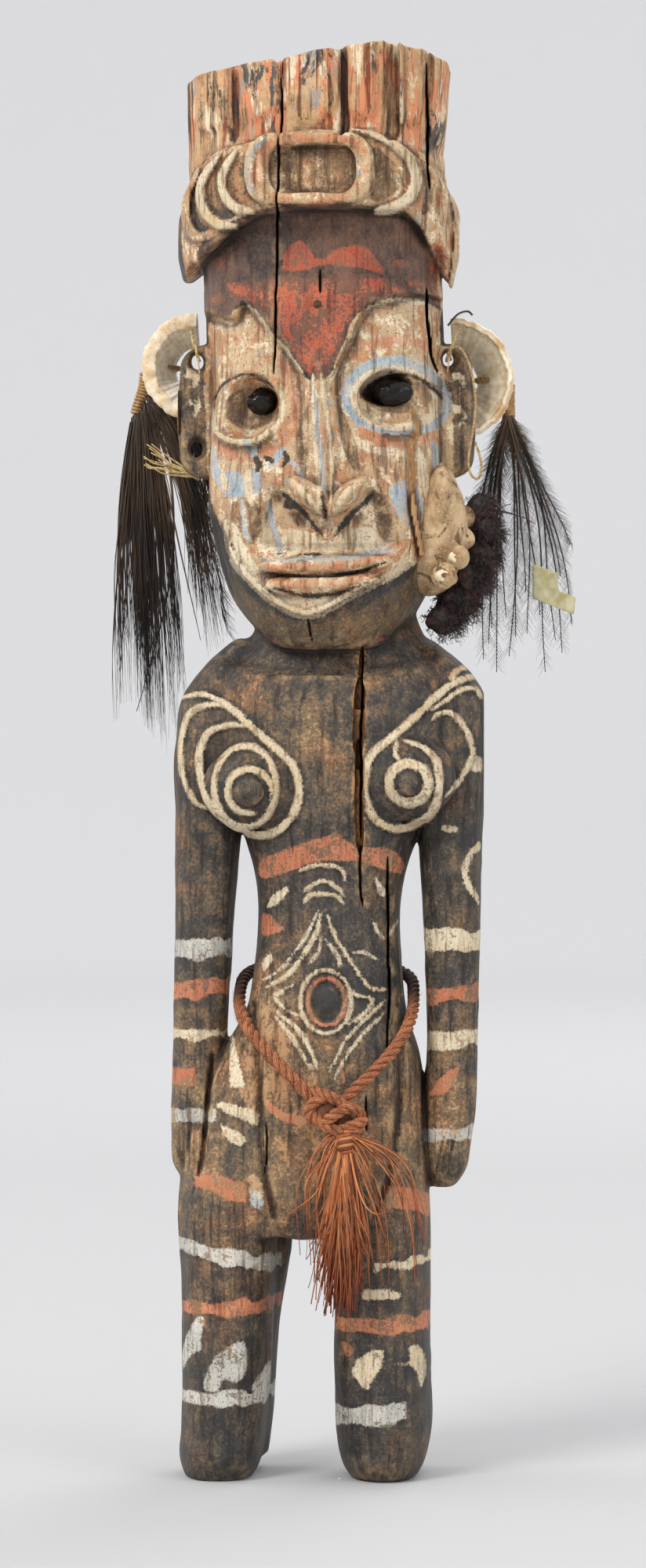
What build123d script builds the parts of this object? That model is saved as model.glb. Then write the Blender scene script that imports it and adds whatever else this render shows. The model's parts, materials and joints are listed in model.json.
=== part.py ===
from build123d import *
from math import copysign, cos, pi, radians, sin
import os

# A standing ancestor figure carved from one log, hung with shell rings, feathers and a rope belt.
# Millimetres. +Z is up, the figure faces -Y, and +X is to the right of someone facing it.
# "left" and "right" are that person's left (-X) and right (+X).
# The origin is on the floor, in the middle of the object's box.

# ---------------------------------------------------------------- driving dimensions
LOG_AXIS = Pos(-11.0, 18.04, 0)        # where the figure's own upright axis stands in the object's frame
CROWN_TOP = 882.0                     # highest point of the broken upper edge
SQUARENESS = 0.86                     # exponent of the log's outlines: 1 is an ellipse, less is squarer
OUTLINE_POINTS = 16

ROPE_DIAMETER = 7.6
STRING_DIAMETER = 1.8
THREAD_DIAMETER = 1.3
STRAW_DIAMETER = 1.2
EAR_THICKNESS = 14.0
RING_FRONT = 2.5                      # the rings hang just behind the ears, whose backs are at y = 0
RING_DEPTH = 28.0
FAN_FRONT = 34.0                      # the feather fans hang behind the rings
FAN_THICKNESS = 10.0
TASSEL_PIVOT = (8.0, -65.0, 212.0)
CHEEK_CRACK_X = 58.0

# Level outlines of each limb: (height, centre x, centre y, half width, half depth)
LEFT_LEG = [
    (0, -62, 2, 21, 38), (9, -61.5, 2, 26.5, 44), (60, -60.5, 2, 28.5, 46),
    (120, -60, 1, 29.5, 46), (170, -58, 0, 32, 45), (215, -54, 0, 30, 40),
]
BETWEEN_THIGHS = [
    (148, -8, -10, 14, 24), (160, -8, -12, 22, 33), (200, -8, -12, 23, 36), (222, -8, -8, 18, 34),
]
RIGHT_LEG = [
    (0, 38, 2, 21, 38), (9, 37, 2, 26.5, 44), (60, 35.5, 2, 29, 46),
    (120, 35, 1, 29.5, 46), (170, 33.5, 0, 31, 45), (215, 31, 0, 29, 40),
]
TORSO = [
    (151, -11, 0, 73, 41), (185, -10.5, 0, 75.5, 47), (230, -8, 0, 71, 48), (262, -2, 0, 62, 46.5),
    (290, 2, 0, 50, 44), (312, 3, 0, 46.5, 43), (357, 4, 0, 44.5, 42), (389, 5, 0, 51, 45),
    (418, 5.5, 0, 63, 49), (450, 6, 0, 76, 51), (487, 6.5, 0, 80, 49), (512, 7.5, 2, 67, 43),
    (534, 9, 4, 48, 36),
]
LEFT_ARM = [
    (190, -82, 0, 10, 16), (214, -80.5, 0, 14, 20), (262, -77, 0, 16.5, 20), (312, -75, 0, 17.5, 21),
    (360, -73.5, 0, 18.5, 23), (410, -71, 0, 21, 26), (455, -68, 0, 24, 30), (495, -60, 1, 24, 28),
    (515, -50, 2, 20, 24),
]
RIGHT_ARM = [
    (184, 76, 0, 12, 16), (208, 78, 0, 15, 19), (262, 80.5, 0, 16, 20), (312, 80.5, 0, 17, 21),
    (360, 80, 0, 18.5, 23), (410, 79, 0, 21, 26), (455, 77, 0, 25, 30), (495, 72, 1, 26, 28),
    (515, 62, 2, 21, 24),
]
HEAD = [
    (508, 4, -24, 24, 26), (520, 4, -22, 43, 42), (542, 4, -18, 59, 55), (574, 3, -14, 71, 63),
    (625, 1.5, -11, 75, 67), (690, 1, -9, 75, 68), (750, 0, -8, 75, 67), (805, -3, -6, 76, 66),
]
CROWN = [(770, -5, -6, 75, 65), (818, -5, -5, 78, 67), (890, -5, -3, 82, 70)]
NOSE = [
    (690, 2, -72, 4, 5), (652, 2.5, -78, 7, 11), (616, 3, -82, 10, 17), (595, 3.5, -84, 10, 18),
    (582, 4, -90, 4, 9),
]

# The belt's centre line, from the knot round the left hip, behind the waist and back to the knot
BELT_ROUTE = [
    (2, -58.5, 232), (-9, -58, 243), (-22, -55, 256), (-35, -49, 269), (-46, -38, 281),
    (-51, -22, 293), (-51.3, -3, 303), (-50.5, 16, 309), (-45, 34, 313), (-30, 46, 316),
    (-10, 51, 317), (10, 51.5, 316.5), (31, 47, 315), (48, 36, 312), (55.5, 18, 307),
    (56.5, -2, 299.5), (57, -21, 289.5), (53, -39, 277), (43, -50.5, 263), (31, -56, 251),
    (20, -58, 241), (13, -58.5, 232),
]
# The string in the right ear: out of the hole, over its own wrapping, down, round its loop and up
STRING_ROUTE = [
    (77.2, -8, 691.6), (77.2, -18, 692.4), (79.8, -22, 699), (86, -21, 699.5), (90.5, -20, 692),
    (93.5, -20, 682), (95.5, -20.5, 669), (95, -20, 655), (92.5, -20, 641), (90.5, -20, 629),
    (92, -20, 620.5), (96.5, -20.5, 617), (99.5, -21, 622), (98.5, -20.5, 632), (95, -18, 641),
]


# ---------------------------------------------------------------- shaping helpers
def level_outline(x, y, z, half_width, half_depth):
    """One level section of the log: an ellipse squared off a little."""
    points = []
    for step in range(OUTLINE_POINTS):
        turn = 2 * pi * step / OUTLINE_POINTS
        across = copysign(abs(cos(turn)) ** SQUARENESS, cos(turn))
        along = copysign(abs(sin(turn)) ** SQUARENESS, sin(turn))
        points.append((x + half_width * across, y + half_depth * along, z))
    return make_face(Edge.make_spline([Vector(*point) for point in points], periodic=True))


def limb(stations):
    """A smooth closed body through level outlines."""
    return loft([level_outline(x, y, z, w, d) for z, x, y, w, d in stations])


def pebble(x, y, z, half_length, radius, turn=0):
    """A rounded lump, longer along X, turned about the viewing direction."""
    half = Ellipse(half_length, radius) & Pos(0, radius / 2) * Rectangle(2 * half_length, radius)
    return Pos(x, y, z) * Rot(0, turn, 0) * revolve(half, axis=Axis.X)


def front_prism(sketch, y_front, y_back):
    """A flat outline drawn in X and Z, from y_front back to y_back."""
    plane = Plane(origin=(0, y_back, 0), x_dir=(1, 0, 0), z_dir=(0, -1, 0))
    return extrude(plane * sketch, amount=y_back - y_front)


def outline(points):
    """A straight-sided outline in X and Z."""
    return make_face(Polyline(*points, close=True))


def soft_outline(upper, lower):
    """An outline whose upper and lower edges are smooth curves."""
    return make_face([
        Spline(*upper),
        Line(upper[-1], lower[-1]),
        Spline(*lower),
        Line(lower[0], upper[0]),
    ])


def rod(start, end, diameter, end_diameter=None):
    """A round straight piece between two points, tapered if it has an end diameter."""
    start = Vector(*start)
    along = Vector(*end) - start
    plane = Plane(origin=start, z_dir=along)
    top = diameter / 2 if end_diameter is None else end_diameter / 2
    if abs(top - diameter / 2) < 1e-6:
        return plane * Cylinder(top, along.length, align=(Align.CENTER, Align.CENTER, Align.MIN))
    return plane * Cone(diameter / 2, top, along.length, align=(Align.CENTER, Align.CENTER, Align.MIN))


def cord_radii(route):
    """The arc at each corner of a route: 0.45 of the shorter run over the tangent of half the turn."""
    points = [Vector(*point) for point in route]
    radii = []
    for before, here, after in zip(points, points[1:], points[2:]):
        run_in = here - before
        run_out = after - here
        half_turn = radians(run_in.get_angle(run_out)) / 2
        radii.append(0.45 * min(run_in.length, run_out.length) * cos(half_turn) / sin(half_turn))
    return radii


def cord(name, route, diameter):
    """A round cord along straight runs joined by tangent arcs."""
    radii = cord_radii(route)
    path = FilletPolyline(*route, radius=radii)
    section = Plane(origin=path @ 0, z_dir=path % 0) * Circle(diameter / 2)
    tube = sweep(section, path=path)
    expected = pi * diameter ** 2 / 4 * path.length
    print(f"{name}: length {path.length:.1f} mm, volume {tube.volume / expected:.4f} of section x length")
    print(f"{name}: radii", [round(radius, 1) for radius in radii])
    return tube


# ---------------------------------------------------------------- the carved log
def crown():
    """The ribbed top block, with its worn, stepped upper edge and upright grooves."""
    block = limb(CROWN)
    broken_away = outline([
        (-100, 861), (-28, 870), (-26, 866), (-23, 870), (8, 878), (11, 876), (14, 880), (42, CROWN_TOP),
        (64, 877), (100, 876), (100, 900), (-100, 900),
    ])
    block -= front_prism(broken_away, -100, 100)
    for x, y, radius in ((-54, -58, 5), (13, -76, 5), (42, -71, 6), (61, -58, 4), (-25, -74, 2)):
        block -= Pos(x, y, 855) * Cylinder(radius, 90)
    return block


def rim_band():
    """The arched band over the forehead, with its raised centre frame."""
    arch = soft_outline(
        [(-88, 786), (-54, 813), (-6, 824), (42, 818), (66, 801), (80, 776)],
        [(-86, 738), (-54, 766), (-27, 778), (18, 781), (52, 771), (82, 722)],
    )
    log_round = Pos(-4, -9, 770) * extrude(Ellipse(85, 81), amount=60, both=True)
    band = front_prism(arch, -95, 14) & log_round
    frame = front_prism(Pos(-6, 800) * RectangleRounded(76, 42, 15), -96, -70)
    recess = front_prism(Pos(-6, 800) * RectangleRounded(53, 29, 10), -97, -88)
    return band + frame - recess


def ear(x, hole_heights, hole_x):
    """A flat carved ear standing out of the side of the head, with slanted oval tie holes."""
    plate = front_prism(Pos(x, 661) * RectangleRounded(34, 84, 13), -EAR_THICKNESS, 0)
    for z in hole_heights:
        plate -= front_prism(Pos(hole_x, z) * Ellipse(3.1, 4.2), -EAR_THICKNESS - 1, 1)
    return plate


def carved_head():
    """Head and face, without the crown and the rim band."""
    head = limb(HEAD)
    head += limb(NOSE)
    head += pebble(-14, -79, 612, 11, 8, 38)                   # nostril wings
    head += pebble(22, -79, 614, 11, 8, -38)
    head += pebble(2, -73, 566, 39, 8)                         # lips
    head -= pebble(-45, -70, 665, 22, 15)                      # eye hollows
    head -= pebble(48, -70, 668, 22, 14)
    head -= Pos(CHEEK_CRACK_X, -60, 585) * Box(3.5, 34, 115)   # seasoning crack in the right cheek
    head -= forehead_peg()
    return head


def carved_trunk():
    """Trunk, arms and legs."""
    trunk = limb(TORSO)
    trunk += pebble(-46, -34, 428, 27, 24, -25)                # breasts
    trunk += pebble(57, -34, 434, 27, 24, 25)
    trunk += pebble(4, -42, 297, 8, 6)                         # navel
    trunk += Pos(8, 6, 530) * Cylinder(44, 60)                 # neck, behind the chin
    trunk -= Pos(24.5, -52, 435) * Box(4, 36, 128)             # seasoning crack in the chest
    for part_of_log in (BETWEEN_THIGHS, LEFT_LEG, RIGHT_LEG, LEFT_ARM, RIGHT_ARM):
        trunk += limb(part_of_log)
    return trunk


def carved_figure(head):
    figure = carved_trunk() + head
    figure += crown()
    figure += rim_band()
    figure += ear(-71, (693, 638), -77)
    figure += ear(75, (692,), 78)
    return figure


def forehead_peg():
    return front_prism(Pos(0.5, 721) * Circle(2.4), -77.5, -66)


# ---------------------------------------------------------------- pieces set into the log
def left_eye_inlay(head):
    return pebble(-37, -58, 664, 9, 8) - head


def right_eye_inlay(head):
    return pebble(46, -58, 669, 14, 9) - head


def nassa_shells():
    """Four small shells pressed into the clay on the right jaw."""
    places = ((76, -47, 557), (83, -38, 568), (88, -26, 581), (90, -12, 593))
    return [pebble(x, y, z, 5, 4, 60) for x, y, z in places]


def jaw_clay(head, shells):
    """A pat of clay over the right side of the jaw."""
    pat = pebble(65, -24, 582, 41, 27, 82)
    pat -= Pos(CHEEK_CRACK_X + 2, 0, 582) * Box(100, 200, 100, align=(Align.MAX, Align.CENTER, Align.CENTER))
    pat -= head
    for shell in shells:
        pat -= shell
    return pat


def jaw_fur(head, clay, shells, quill):
    """Tufts of fur glued along the edge of the clay."""
    fur = pebble(99, -8, 600, 16, 9, 90)
    fur += pebble(103, -9, 576, 16, 10, 90)
    fur += pebble(94, -13, 552, 16, 12, 60)
    fur += pebble(80, -18, 537, 14, 12, 20)
    fur -= head
    fur -= clay
    for shell in shells:
        fur -= shell
    fur -= quill
    return fur


# ---------------------------------------------------------------- what hangs from the ears
def shell_ring(x, z, outer, inner, far_inner, side):
    """A cut shell: a dished band, open on the side next to the head."""
    wall = far_inner + 5
    section = outline([
        (inner, 0), (outer - 3, 0), (outer, 3), (outer, 7), (wall, RING_DEPTH), (far_inner, RING_DEPTH),
    ])
    half = revolve(section, axis=Axis.Y, revolution_arc=184)
    return Pos(x, RING_FRONT, z) * Rot(0, 92 if side < 0 else -88, 0) * half


def feather_fan(points):
    return front_prism(outline(points), FAN_FRONT, FAN_FRONT + FAN_THICKNESS)


def left_feathers():
    return feather_fan([
        (-118, 668), (-127, 641), (-131, 574), (-130, 502), (-135, 463), (-110, 452), (-99, 449),
        (-80, 484), (-60, 521), (-63, 574), (-74, 620), (-101, 655), (-110, 668),
    ])


def right_feathers():
    return feather_fan([
        (118, 661), (138, 650), (150, 602), (156, 574), (154, 508), (139, 498), (114, 528), (96, 505),
        (89, 574), (86, 612), (99, 640), (110, 661),
    ])


def feather_binding(x, z_low, z_high):
    middle = FAN_FRONT + FAN_THICKNESS / 2
    return rod((x, middle, z_low), (x, middle, z_high), FAN_THICKNESS, FAN_THICKNESS - 3)


def feather_tape():
    """A scrap of tape stuck across the front of the right feathers."""
    shape = outline([(130, 568), (146, 562), (146, 551), (157, 547), (156, 536), (130, 546)])
    return front_prism(shape, FAN_FRONT - 0.6, FAN_FRONT)


def bent_rod(points, diameter):
    """A thin stalk, straw or thread with rounded bends."""
    stalk = rod(points[0], points[1], diameter)
    for start, end in zip(points[1:], points[2:]):
        stalk += rod(start, end, diameter)
        stalk += Pos(*start) * Sphere(diameter / 2 + 0.05)
    return stalk


def ring_tie(x, hole_z, lean):
    """A straw out of the ear's upper hole and over the ear to the ring."""
    return bent_rod([
        (x, -3, hole_z), (x, -16, hole_z + 1.5), (x + lean, -16.5, hole_z + 10), (x + 2 * lean, 1.2, hole_z + 19),
    ], STRAW_DIAMETER)


def right_ring_thread():
    """A dark thread from behind the cheek up over the top of the right ring."""
    return bent_rod([(78, -7, 714), (84, -5, 721), (90, 2, 723.5), (93, -1, 721)], THREAD_DIAMETER)


def ear_fibres():
    """A tuft of straw that comes out behind the left ear's lower edge."""
    return rod((-79, 4.5, 622), (-111, 2, 634), 4, 9)


# ---------------------------------------------------------------- belt
def belt_knot():
    knot = pebble(8, -62, 228, 16, 9.5, 8)
    knot += pebble(17, -60, 222, 8, 7, 30)
    knot += pebble(-3, -60, 232, 8, 7, -30)
    return knot


def belt_tassel():
    """The frayed rope end, hanging in front of the thighs."""
    x, y, z = TASSEL_PIVOT
    return loft([
        level_outline(x, y, z - 5, 4, 3),
        level_outline(x + 1, y, z - 30, 12, 7),
        level_outline(x + 7, y, z - 70, 27, 9),
        level_outline(x + 14, y, z - 112, 40, 9),
    ])


# ---------------------------------------------------------------- the whole object
def build():
    head = carved_head()
    shells = nassa_shells()
    clay = jaw_clay(head, shells)
    quill = rod((104, -6, 601), (131, -4, 592), 1.6, 0.6)
    return {
        "carved_figure": carved_figure(head),
        "forehead_peg": forehead_peg(),
        "left_eye_inlay": left_eye_inlay(head),
        "right_eye_inlay": right_eye_inlay(head),
        "jaw_clay": clay,
        "nassa_shells": Compound(children=shells),
        "jaw_fur": jaw_fur(head, clay, shells, quill),
        "jaw_quill": quill,
        "left_ring_tie": ring_tie(-77, 693, -2.5),
        "right_ring_tie": ring_tie(79.4, 693, 2.5),
        "right_ring_thread": right_ring_thread(),
        "left_shell_ring": shell_ring(-80, 690, 33.5, 24, 14, -1),
        "right_shell_ring": shell_ring(80.5, 681.5, 38, 33, 15, 1),
        "left_feather_binding": feather_binding(-114, 668, 688),
        "right_feather_binding": feather_binding(115, 661, 679),
        "left_feathers": left_feathers(),
        "right_feathers": right_feathers(),
        "feather_tape": feather_tape(),
        "left_ear_fibres": ear_fibres(),
        "right_ear_string": cord("right_ear_string", STRING_ROUTE, STRING_DIAMETER),
        "belt_rope": cord("belt_rope", BELT_ROUTE, ROPE_DIAMETER),
        "belt_knot": belt_knot(),
        "belt_tassel": belt_tassel(),
    }


os.makedirs("parts", exist_ok=True)
parts = build()
for node, shape in parts.items():
    export_step(LOG_AXIS * shape, f"parts/{node}.step")
box = Compound(children=[LOG_AXIS * shape for shape in parts.values()]).bounding_box()
print("box", box.min, box.max, "centre", box.center())
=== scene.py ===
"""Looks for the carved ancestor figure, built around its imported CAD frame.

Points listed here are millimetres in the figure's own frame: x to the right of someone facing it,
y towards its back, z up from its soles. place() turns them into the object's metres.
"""

import json
import math

import bpy
import numpy as np
import openvdb
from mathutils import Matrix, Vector


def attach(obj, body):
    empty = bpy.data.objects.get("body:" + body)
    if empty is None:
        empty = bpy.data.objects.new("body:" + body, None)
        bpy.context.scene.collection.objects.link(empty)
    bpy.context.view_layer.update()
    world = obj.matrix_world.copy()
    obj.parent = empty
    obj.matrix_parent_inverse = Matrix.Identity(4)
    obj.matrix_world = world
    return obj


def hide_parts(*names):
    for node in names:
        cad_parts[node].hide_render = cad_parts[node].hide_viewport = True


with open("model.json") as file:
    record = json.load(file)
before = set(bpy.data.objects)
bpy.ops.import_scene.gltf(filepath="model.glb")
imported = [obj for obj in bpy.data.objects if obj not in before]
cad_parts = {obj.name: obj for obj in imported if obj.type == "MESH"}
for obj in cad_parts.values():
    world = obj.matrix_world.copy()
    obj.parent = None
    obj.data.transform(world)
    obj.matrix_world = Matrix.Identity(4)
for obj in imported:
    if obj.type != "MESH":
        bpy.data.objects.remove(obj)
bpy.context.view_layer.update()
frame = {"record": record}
SEED = 7
random = np.random.default_rng(SEED)

MM = 0.001
# The left sole's mount ties the figure's frame to the object's
LEFT_SOLE_IN_FIGURE = np.array((-62.0, 2.0, 0.0))
left_sole = next(mount for mount in frame["record"]["mounts"] if mount["name"] == "left_sole")
FIGURE_ORIGIN = np.array(left_sole["pos_m"]) - LEFT_SOLE_IN_FIGURE * MM


def place(points):
    """Points of the figure's frame, in millimetres, as the object's metres."""
    return np.asarray(points, float) * MM + FIGURE_ORIGIN


# ---------------------------------------------------------------- materials
MIX_COLOUR_A, MIX_COLOUR_B, MIX_COLOUR_RESULT = 6, 7, 2  # the Mix node's colour sockets


def rgb(code):
    """A colour written as six hex digits, as linear values."""
    values = [int(code[i:i + 2], 16) / 255 for i in (0, 2, 4)]
    return tuple(v / 12.92 if v <= 0.04045 else ((v + 0.055) / 1.055) ** 2.4 for v in values) + (1.0,)


class Shader:
    """Builds one procedural material in object coordinates, which are the object's metres."""

    def __init__(self, name, roughness=0.7, **constants):
        self.material = bpy.data.materials.new(name)
        self.material.use_nodes = True
        self.tree = self.material.node_tree
        self.principled = self.tree.nodes["Principled BSDF"]
        self.coordinates = self.tree.nodes.new("ShaderNodeTexCoord").outputs["Object"]
        self.principled.inputs["Roughness"].default_value = roughness
        for socket, value in constants.items():
            self.principled.inputs[socket.replace("_", " ")].default_value = value

    def feed(self, socket, value):
        """Links a socket to another, or sets it to a number or a colour."""
        if isinstance(value, bpy.types.NodeSocket):
            self.tree.links.new(value, socket)
        elif isinstance(value, str):
            socket.default_value = rgb(value)
        else:
            socket.default_value = value

    def stretched(self, stretch):
        node = self.tree.nodes.new("ShaderNodeVectorMath")
        node.operation = "MULTIPLY"
        self.feed(node.inputs[0], self.coordinates)
        node.inputs[1].default_value = stretch
        return node.outputs[0]

    def noise(self, scale, detail=3.0, rough=0.55, stretch=(1, 1, 1), twist=0.0):
        node = self.tree.nodes.new("ShaderNodeTexNoise")
        self.feed(node.inputs["Vector"], self.stretched(stretch))
        node.inputs["Scale"].default_value = scale
        node.inputs["Detail"].default_value = detail
        node.inputs["Roughness"].default_value = rough
        node.inputs["Distortion"].default_value = twist
        return node.outputs["Fac"]

    def attribute(self, name):
        node = self.tree.nodes.new("ShaderNodeAttribute")
        node.attribute_name = name
        return node.outputs["Fac"]

    def math(self, operation, a, b=0.0, c=0.0, clamp=False):
        node = self.tree.nodes.new("ShaderNodeMath")
        node.operation = operation
        node.use_clamp = clamp
        for socket, value in zip(node.inputs, (a, b, c)):
            self.feed(socket, value)
        return node.outputs[0]

    def step(self, value, low, high):
        """0 below low, 1 above high, straight between."""
        return self.math("MULTIPLY_ADD", value, 1 / (high - low), -low / (high - low), clamp=True)

    def mix(self, share, a, b, blend="MIX"):
        """From a to b, as far as share says."""
        node = self.tree.nodes.new("ShaderNodeMix")
        node.data_type = "RGBA"
        node.blend_type = blend
        self.feed(node.inputs["Factor"], share)
        self.feed(node.inputs[MIX_COLOUR_A], a)
        self.feed(node.inputs[MIX_COLOUR_B], b)
        return node.outputs[MIX_COLOUR_RESULT]

    def grade(self, value, low, high, a, b):
        """Colour a where value is below low, b above high."""
        return self.mix(self.step(value, low, high), a, b)

    def times(self, share, a, b):
        """a multiplied by b, as far as share says."""
        return self.mix(share, a, b, "MULTIPLY")

    def bump(self, height, depth_mm, strength):
        """Adds a bump on top of those that are there."""
        node = self.tree.nodes.new("ShaderNodeBump")
        self.feed(node.inputs["Height"], height)
        node.inputs["Distance"].default_value = depth_mm * MM
        node.inputs["Strength"].default_value = strength
        if self.principled.inputs["Normal"].is_linked:
            self.feed(node.inputs["Normal"], self.principled.inputs["Normal"].links[0].from_socket)
        self.feed(self.principled.inputs["Normal"], node.outputs["Normal"])

    def finish(self, colour, roughness=None):
        self.feed(self.principled.inputs["Base Color"], colour)
        if roughness is not None:
            self.feed(self.principled.inputs["Roughness"], roughness)
        return self.material


# ---------------------------------------------------------------- camera, floor and light
VIEW_AZIMUTH = math.radians(3)
VIEW_HEIGHT = 429.6
VIEW_DISTANCE = 3050.0  # from the middle of the figure
SENSOR_WIDTH, LENS, VIEW_LIMIT = 36, 112.5, 60
KEY_TINT = (1.0, 0.985, 0.96)
PAPER_NEAR, PAPER_FAR = (0.525, 0.525, 0.53, 1), (0.78, 0.78, 0.785, 1)
PAPER_NEAR_REACH, PAPER_FAR_REACH = 2.4, 8.0
WORLD_COLOUR = (0.98, 0.985, 1.0, 1)


def link(name, data):
    """A new object in the scene."""
    thing = bpy.data.objects.new(name, data)
    bpy.context.scene.collection.objects.link(thing)
    return thing


def make_camera():
    data = bpy.data.cameras.new("camera")
    data.sensor_width, data.lens, data.clip_end = SENSOR_WIDTH, LENS, VIEW_LIMIT
    camera = link("camera", data)
    camera.location = place((VIEW_DISTANCE * math.sin(VIEW_AZIMUTH), -VIEW_DISTANCE * math.cos(VIEW_AZIMUTH),
                             VIEW_HEIGHT))
    camera.rotation_euler = (math.radians(90), 0, VIEW_AZIMUTH)
    bpy.context.scene.camera = camera


def area_light(name, position, aim, size, power, colour=(1, 1, 1)):
    data = bpy.data.lights.new(name, "AREA")
    data.size, data.energy, data.color = size, power, colour
    light = link(name, data)
    light.location = position
    light.rotation_euler = (Vector(aim) - Vector(position)).to_track_quat("-Z", "Y").to_euler()


def make_studio():
    """A pale floor that curves up into a round wall, a soft key light from the upper left, and fills."""
    flat_radius, curve_radius, wall_top, turns, curve_steps = 7.5, 3.0, 9.0, 96, 12
    profile = [(0.001, 0.0), (flat_radius, 0.0)]
    for step in range(1, curve_steps + 1):
        turn = math.radians(90 * step / curve_steps)
        profile.append((flat_radius + curve_radius * math.sin(turn), curve_radius * (1 - math.cos(turn))))
    profile.append((flat_radius + curve_radius, wall_top))
    points = [
        (radius * math.cos(2 * math.pi * turn / turns), radius * math.sin(2 * math.pi * turn / turns), height)
        for radius, height in profile
        for turn in range(turns)
    ]
    faces = [
        (ring * turns + turn, ring * turns + (turn + 1) % turns,
         (ring + 1) * turns + (turn + 1) % turns, (ring + 1) * turns + turn)
        for ring in range(len(profile) - 1)
        for turn in range(turns)
    ]
    mesh = bpy.data.meshes.new("studio_floor")
    mesh.from_pydata(points, [], faces)
    mesh.shade_smooth()
    floor = link("studio_floor", mesh)
    paper = Shader("studio_paper", roughness=0.9)
    distance = paper.tree.nodes.new("ShaderNodeVectorMath")
    distance.operation = "LENGTH"
    paper.feed(distance.inputs[0], paper.coordinates)
    far = paper.step(distance.outputs["Value"], PAPER_NEAR_REACH, PAPER_FAR_REACH)
    mesh.materials.append(paper.finish(paper.mix(far, PAPER_NEAR, PAPER_FAR)))

    area_light("key_light", (-2.9, -4.2, 4.4), (0, 0, 0.5), 2.1, 230, KEY_TINT)
    area_light("fill_light", (4.2, -3.8, 2.4), (0, 0, 0.45), 3.2, 80)
    area_light("back_light", (2.0, 4.4, 4.4), (0, 0, 0.5), 3.0, 90)
    area_light("left_light", (-4.4, 1.0, 2.0), (0, 0, 0.45), 2.4, 46)
    world = bpy.data.worlds.new("world")
    bpy.context.scene.world = world
    world.use_nodes = True
    background = world.node_tree.nodes["Background"]
    background.inputs["Color"].default_value = WORLD_COLOUR
    background.inputs["Strength"].default_value = 1.0
    bpy.context.scene.view_settings.view_transform = "Standard"


make_camera()
make_studio()


# ---------------------------------------------------------------- pieces
# A shape is (points, faces, attributes): points in millimetres in the figure's frame, faces as their
# points' numbers, and attributes as one value for each point, which the materials read.
def add_piece(name, shape, material, body, slot, *nodes):
    """One visible piece of the object, which rides on a body and stands for the nodes."""
    points, faces, attributes = shape
    mesh = bpy.data.meshes.new(name)
    mesh.from_pydata(place(points).tolist(), [], [tuple(face) for face in faces])
    mesh.update()
    return finish_piece(mesh, attributes, material, body, slot, *nodes)


def finish_piece(mesh, attributes, material, body, slot, *nodes):
    """Gives a mesh its values at each point, its material and its place on a body."""
    mesh.shade_smooth()
    for label, values in attributes.items():
        layer = mesh.attributes.new(label, "FLOAT", "POINT")
        layer.data.foreach_set("value", np.asarray(values, np.float32))
    mesh.materials.append(material)
    piece = link(mesh.name, mesh)
    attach(piece, body)
    if nodes:
        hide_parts(*nodes)
    return piece


def unit(vectors):
    """The vectors at length 1."""
    return vectors / np.maximum(np.linalg.norm(vectors, axis=-1, keepdims=True), 1e-9)


def carried_frames(paths):
    """Two directions across each path, carried along it without twist."""
    along = unit(np.gradient(paths, axis=1))
    start = np.where(np.abs(along[:, 0, :1]) < 0.8, (1.0, 0.0, 0.0), (0.0, 1.0, 0.0))
    across = np.empty_like(along)
    for i in range(paths.shape[1]):
        start = unit(start - np.sum(start * along[:, i], axis=-1, keepdims=True) * along[:, i])
        across[:, i] = start
    return across, np.cross(along, across)


def tubes(paths, radii, sides=5, ridges=0, ridge_height=0.0, ridge_turns=0.0):
    """The shape of closed tubes, one along each row of points.

    Ridges run round a tube's surface like the fibres of a twisted strand."""
    paths = np.asarray(paths, float)
    if paths.ndim == 2:
        paths = paths[None]
    count, length = paths.shape[:2]
    radii = np.broadcast_to(np.asarray(radii, float), (count, length))
    across, up = carried_frames(paths)
    turn = 2 * np.pi * np.arange(sides) / sides
    shape = np.ones((count, length, sides))
    if ridges:
        wind = 2 * np.pi * ridge_turns * np.linspace(0, 1, length)[None, :, None]
        shape += ridge_height * np.abs(np.sin((ridges * turn[None, None, :] + wind) / 2))
    reach = radii[..., None, None] * shape[..., None]
    ring = np.cos(turn)[:, None] * across[:, :, None, :] + np.sin(turn)[:, None] * up[:, :, None, :]
    points = (paths[:, :, None, :] + reach * ring).reshape(-1, 3)
    index = np.arange(count * length * sides).reshape(count, length, sides)
    nearer, further = index[:, :-1], index[:, 1:]
    quads = np.stack([nearer, np.roll(nearer, -1, 2), np.roll(further, -1, 2), further], -1).reshape(-1, 4)
    caps = index[:, 0, ::-1].tolist() + index[:, -1].tolist()
    attributes = {
        "along": np.broadcast_to(np.linspace(0, 1, length)[None, :, None], index.shape).ravel(),
        "strand": np.broadcast_to(random.random(count)[:, None, None], index.shape).ravel(),
        "ridge": np.clip((shape.ravel() - 1) / max(ridge_height, 1e-6), 0, 1),
    }
    return points, quads.tolist() + caps, attributes


def smooth_line(points, spacing=None, samples=6, closed=False):
    """A Catmull-Rom curve through points, of any number of coordinates."""
    knots = np.asarray(points, float)
    if closed:
        knots = np.vstack([knots[-1], knots, knots[:2]])
    else:
        knots = np.vstack([2 * knots[0] - knots[1], knots, 2 * knots[-1] - knots[-2]])
    t = np.linspace(0, 1, samples, endpoint=False)[:, None]
    pieces = []
    for a, b, c, d in zip(knots, knots[1:], knots[2:], knots[3:]):
        pieces.append(b + 0.5 * t * (c - a + t * (2 * a - 5 * b + 4 * c - d + t * (3 * (b - c) + d - a))))
    line = np.vstack(pieces + [knots[-2][None]])
    return resampled(line, spacing) if spacing else line


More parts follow.
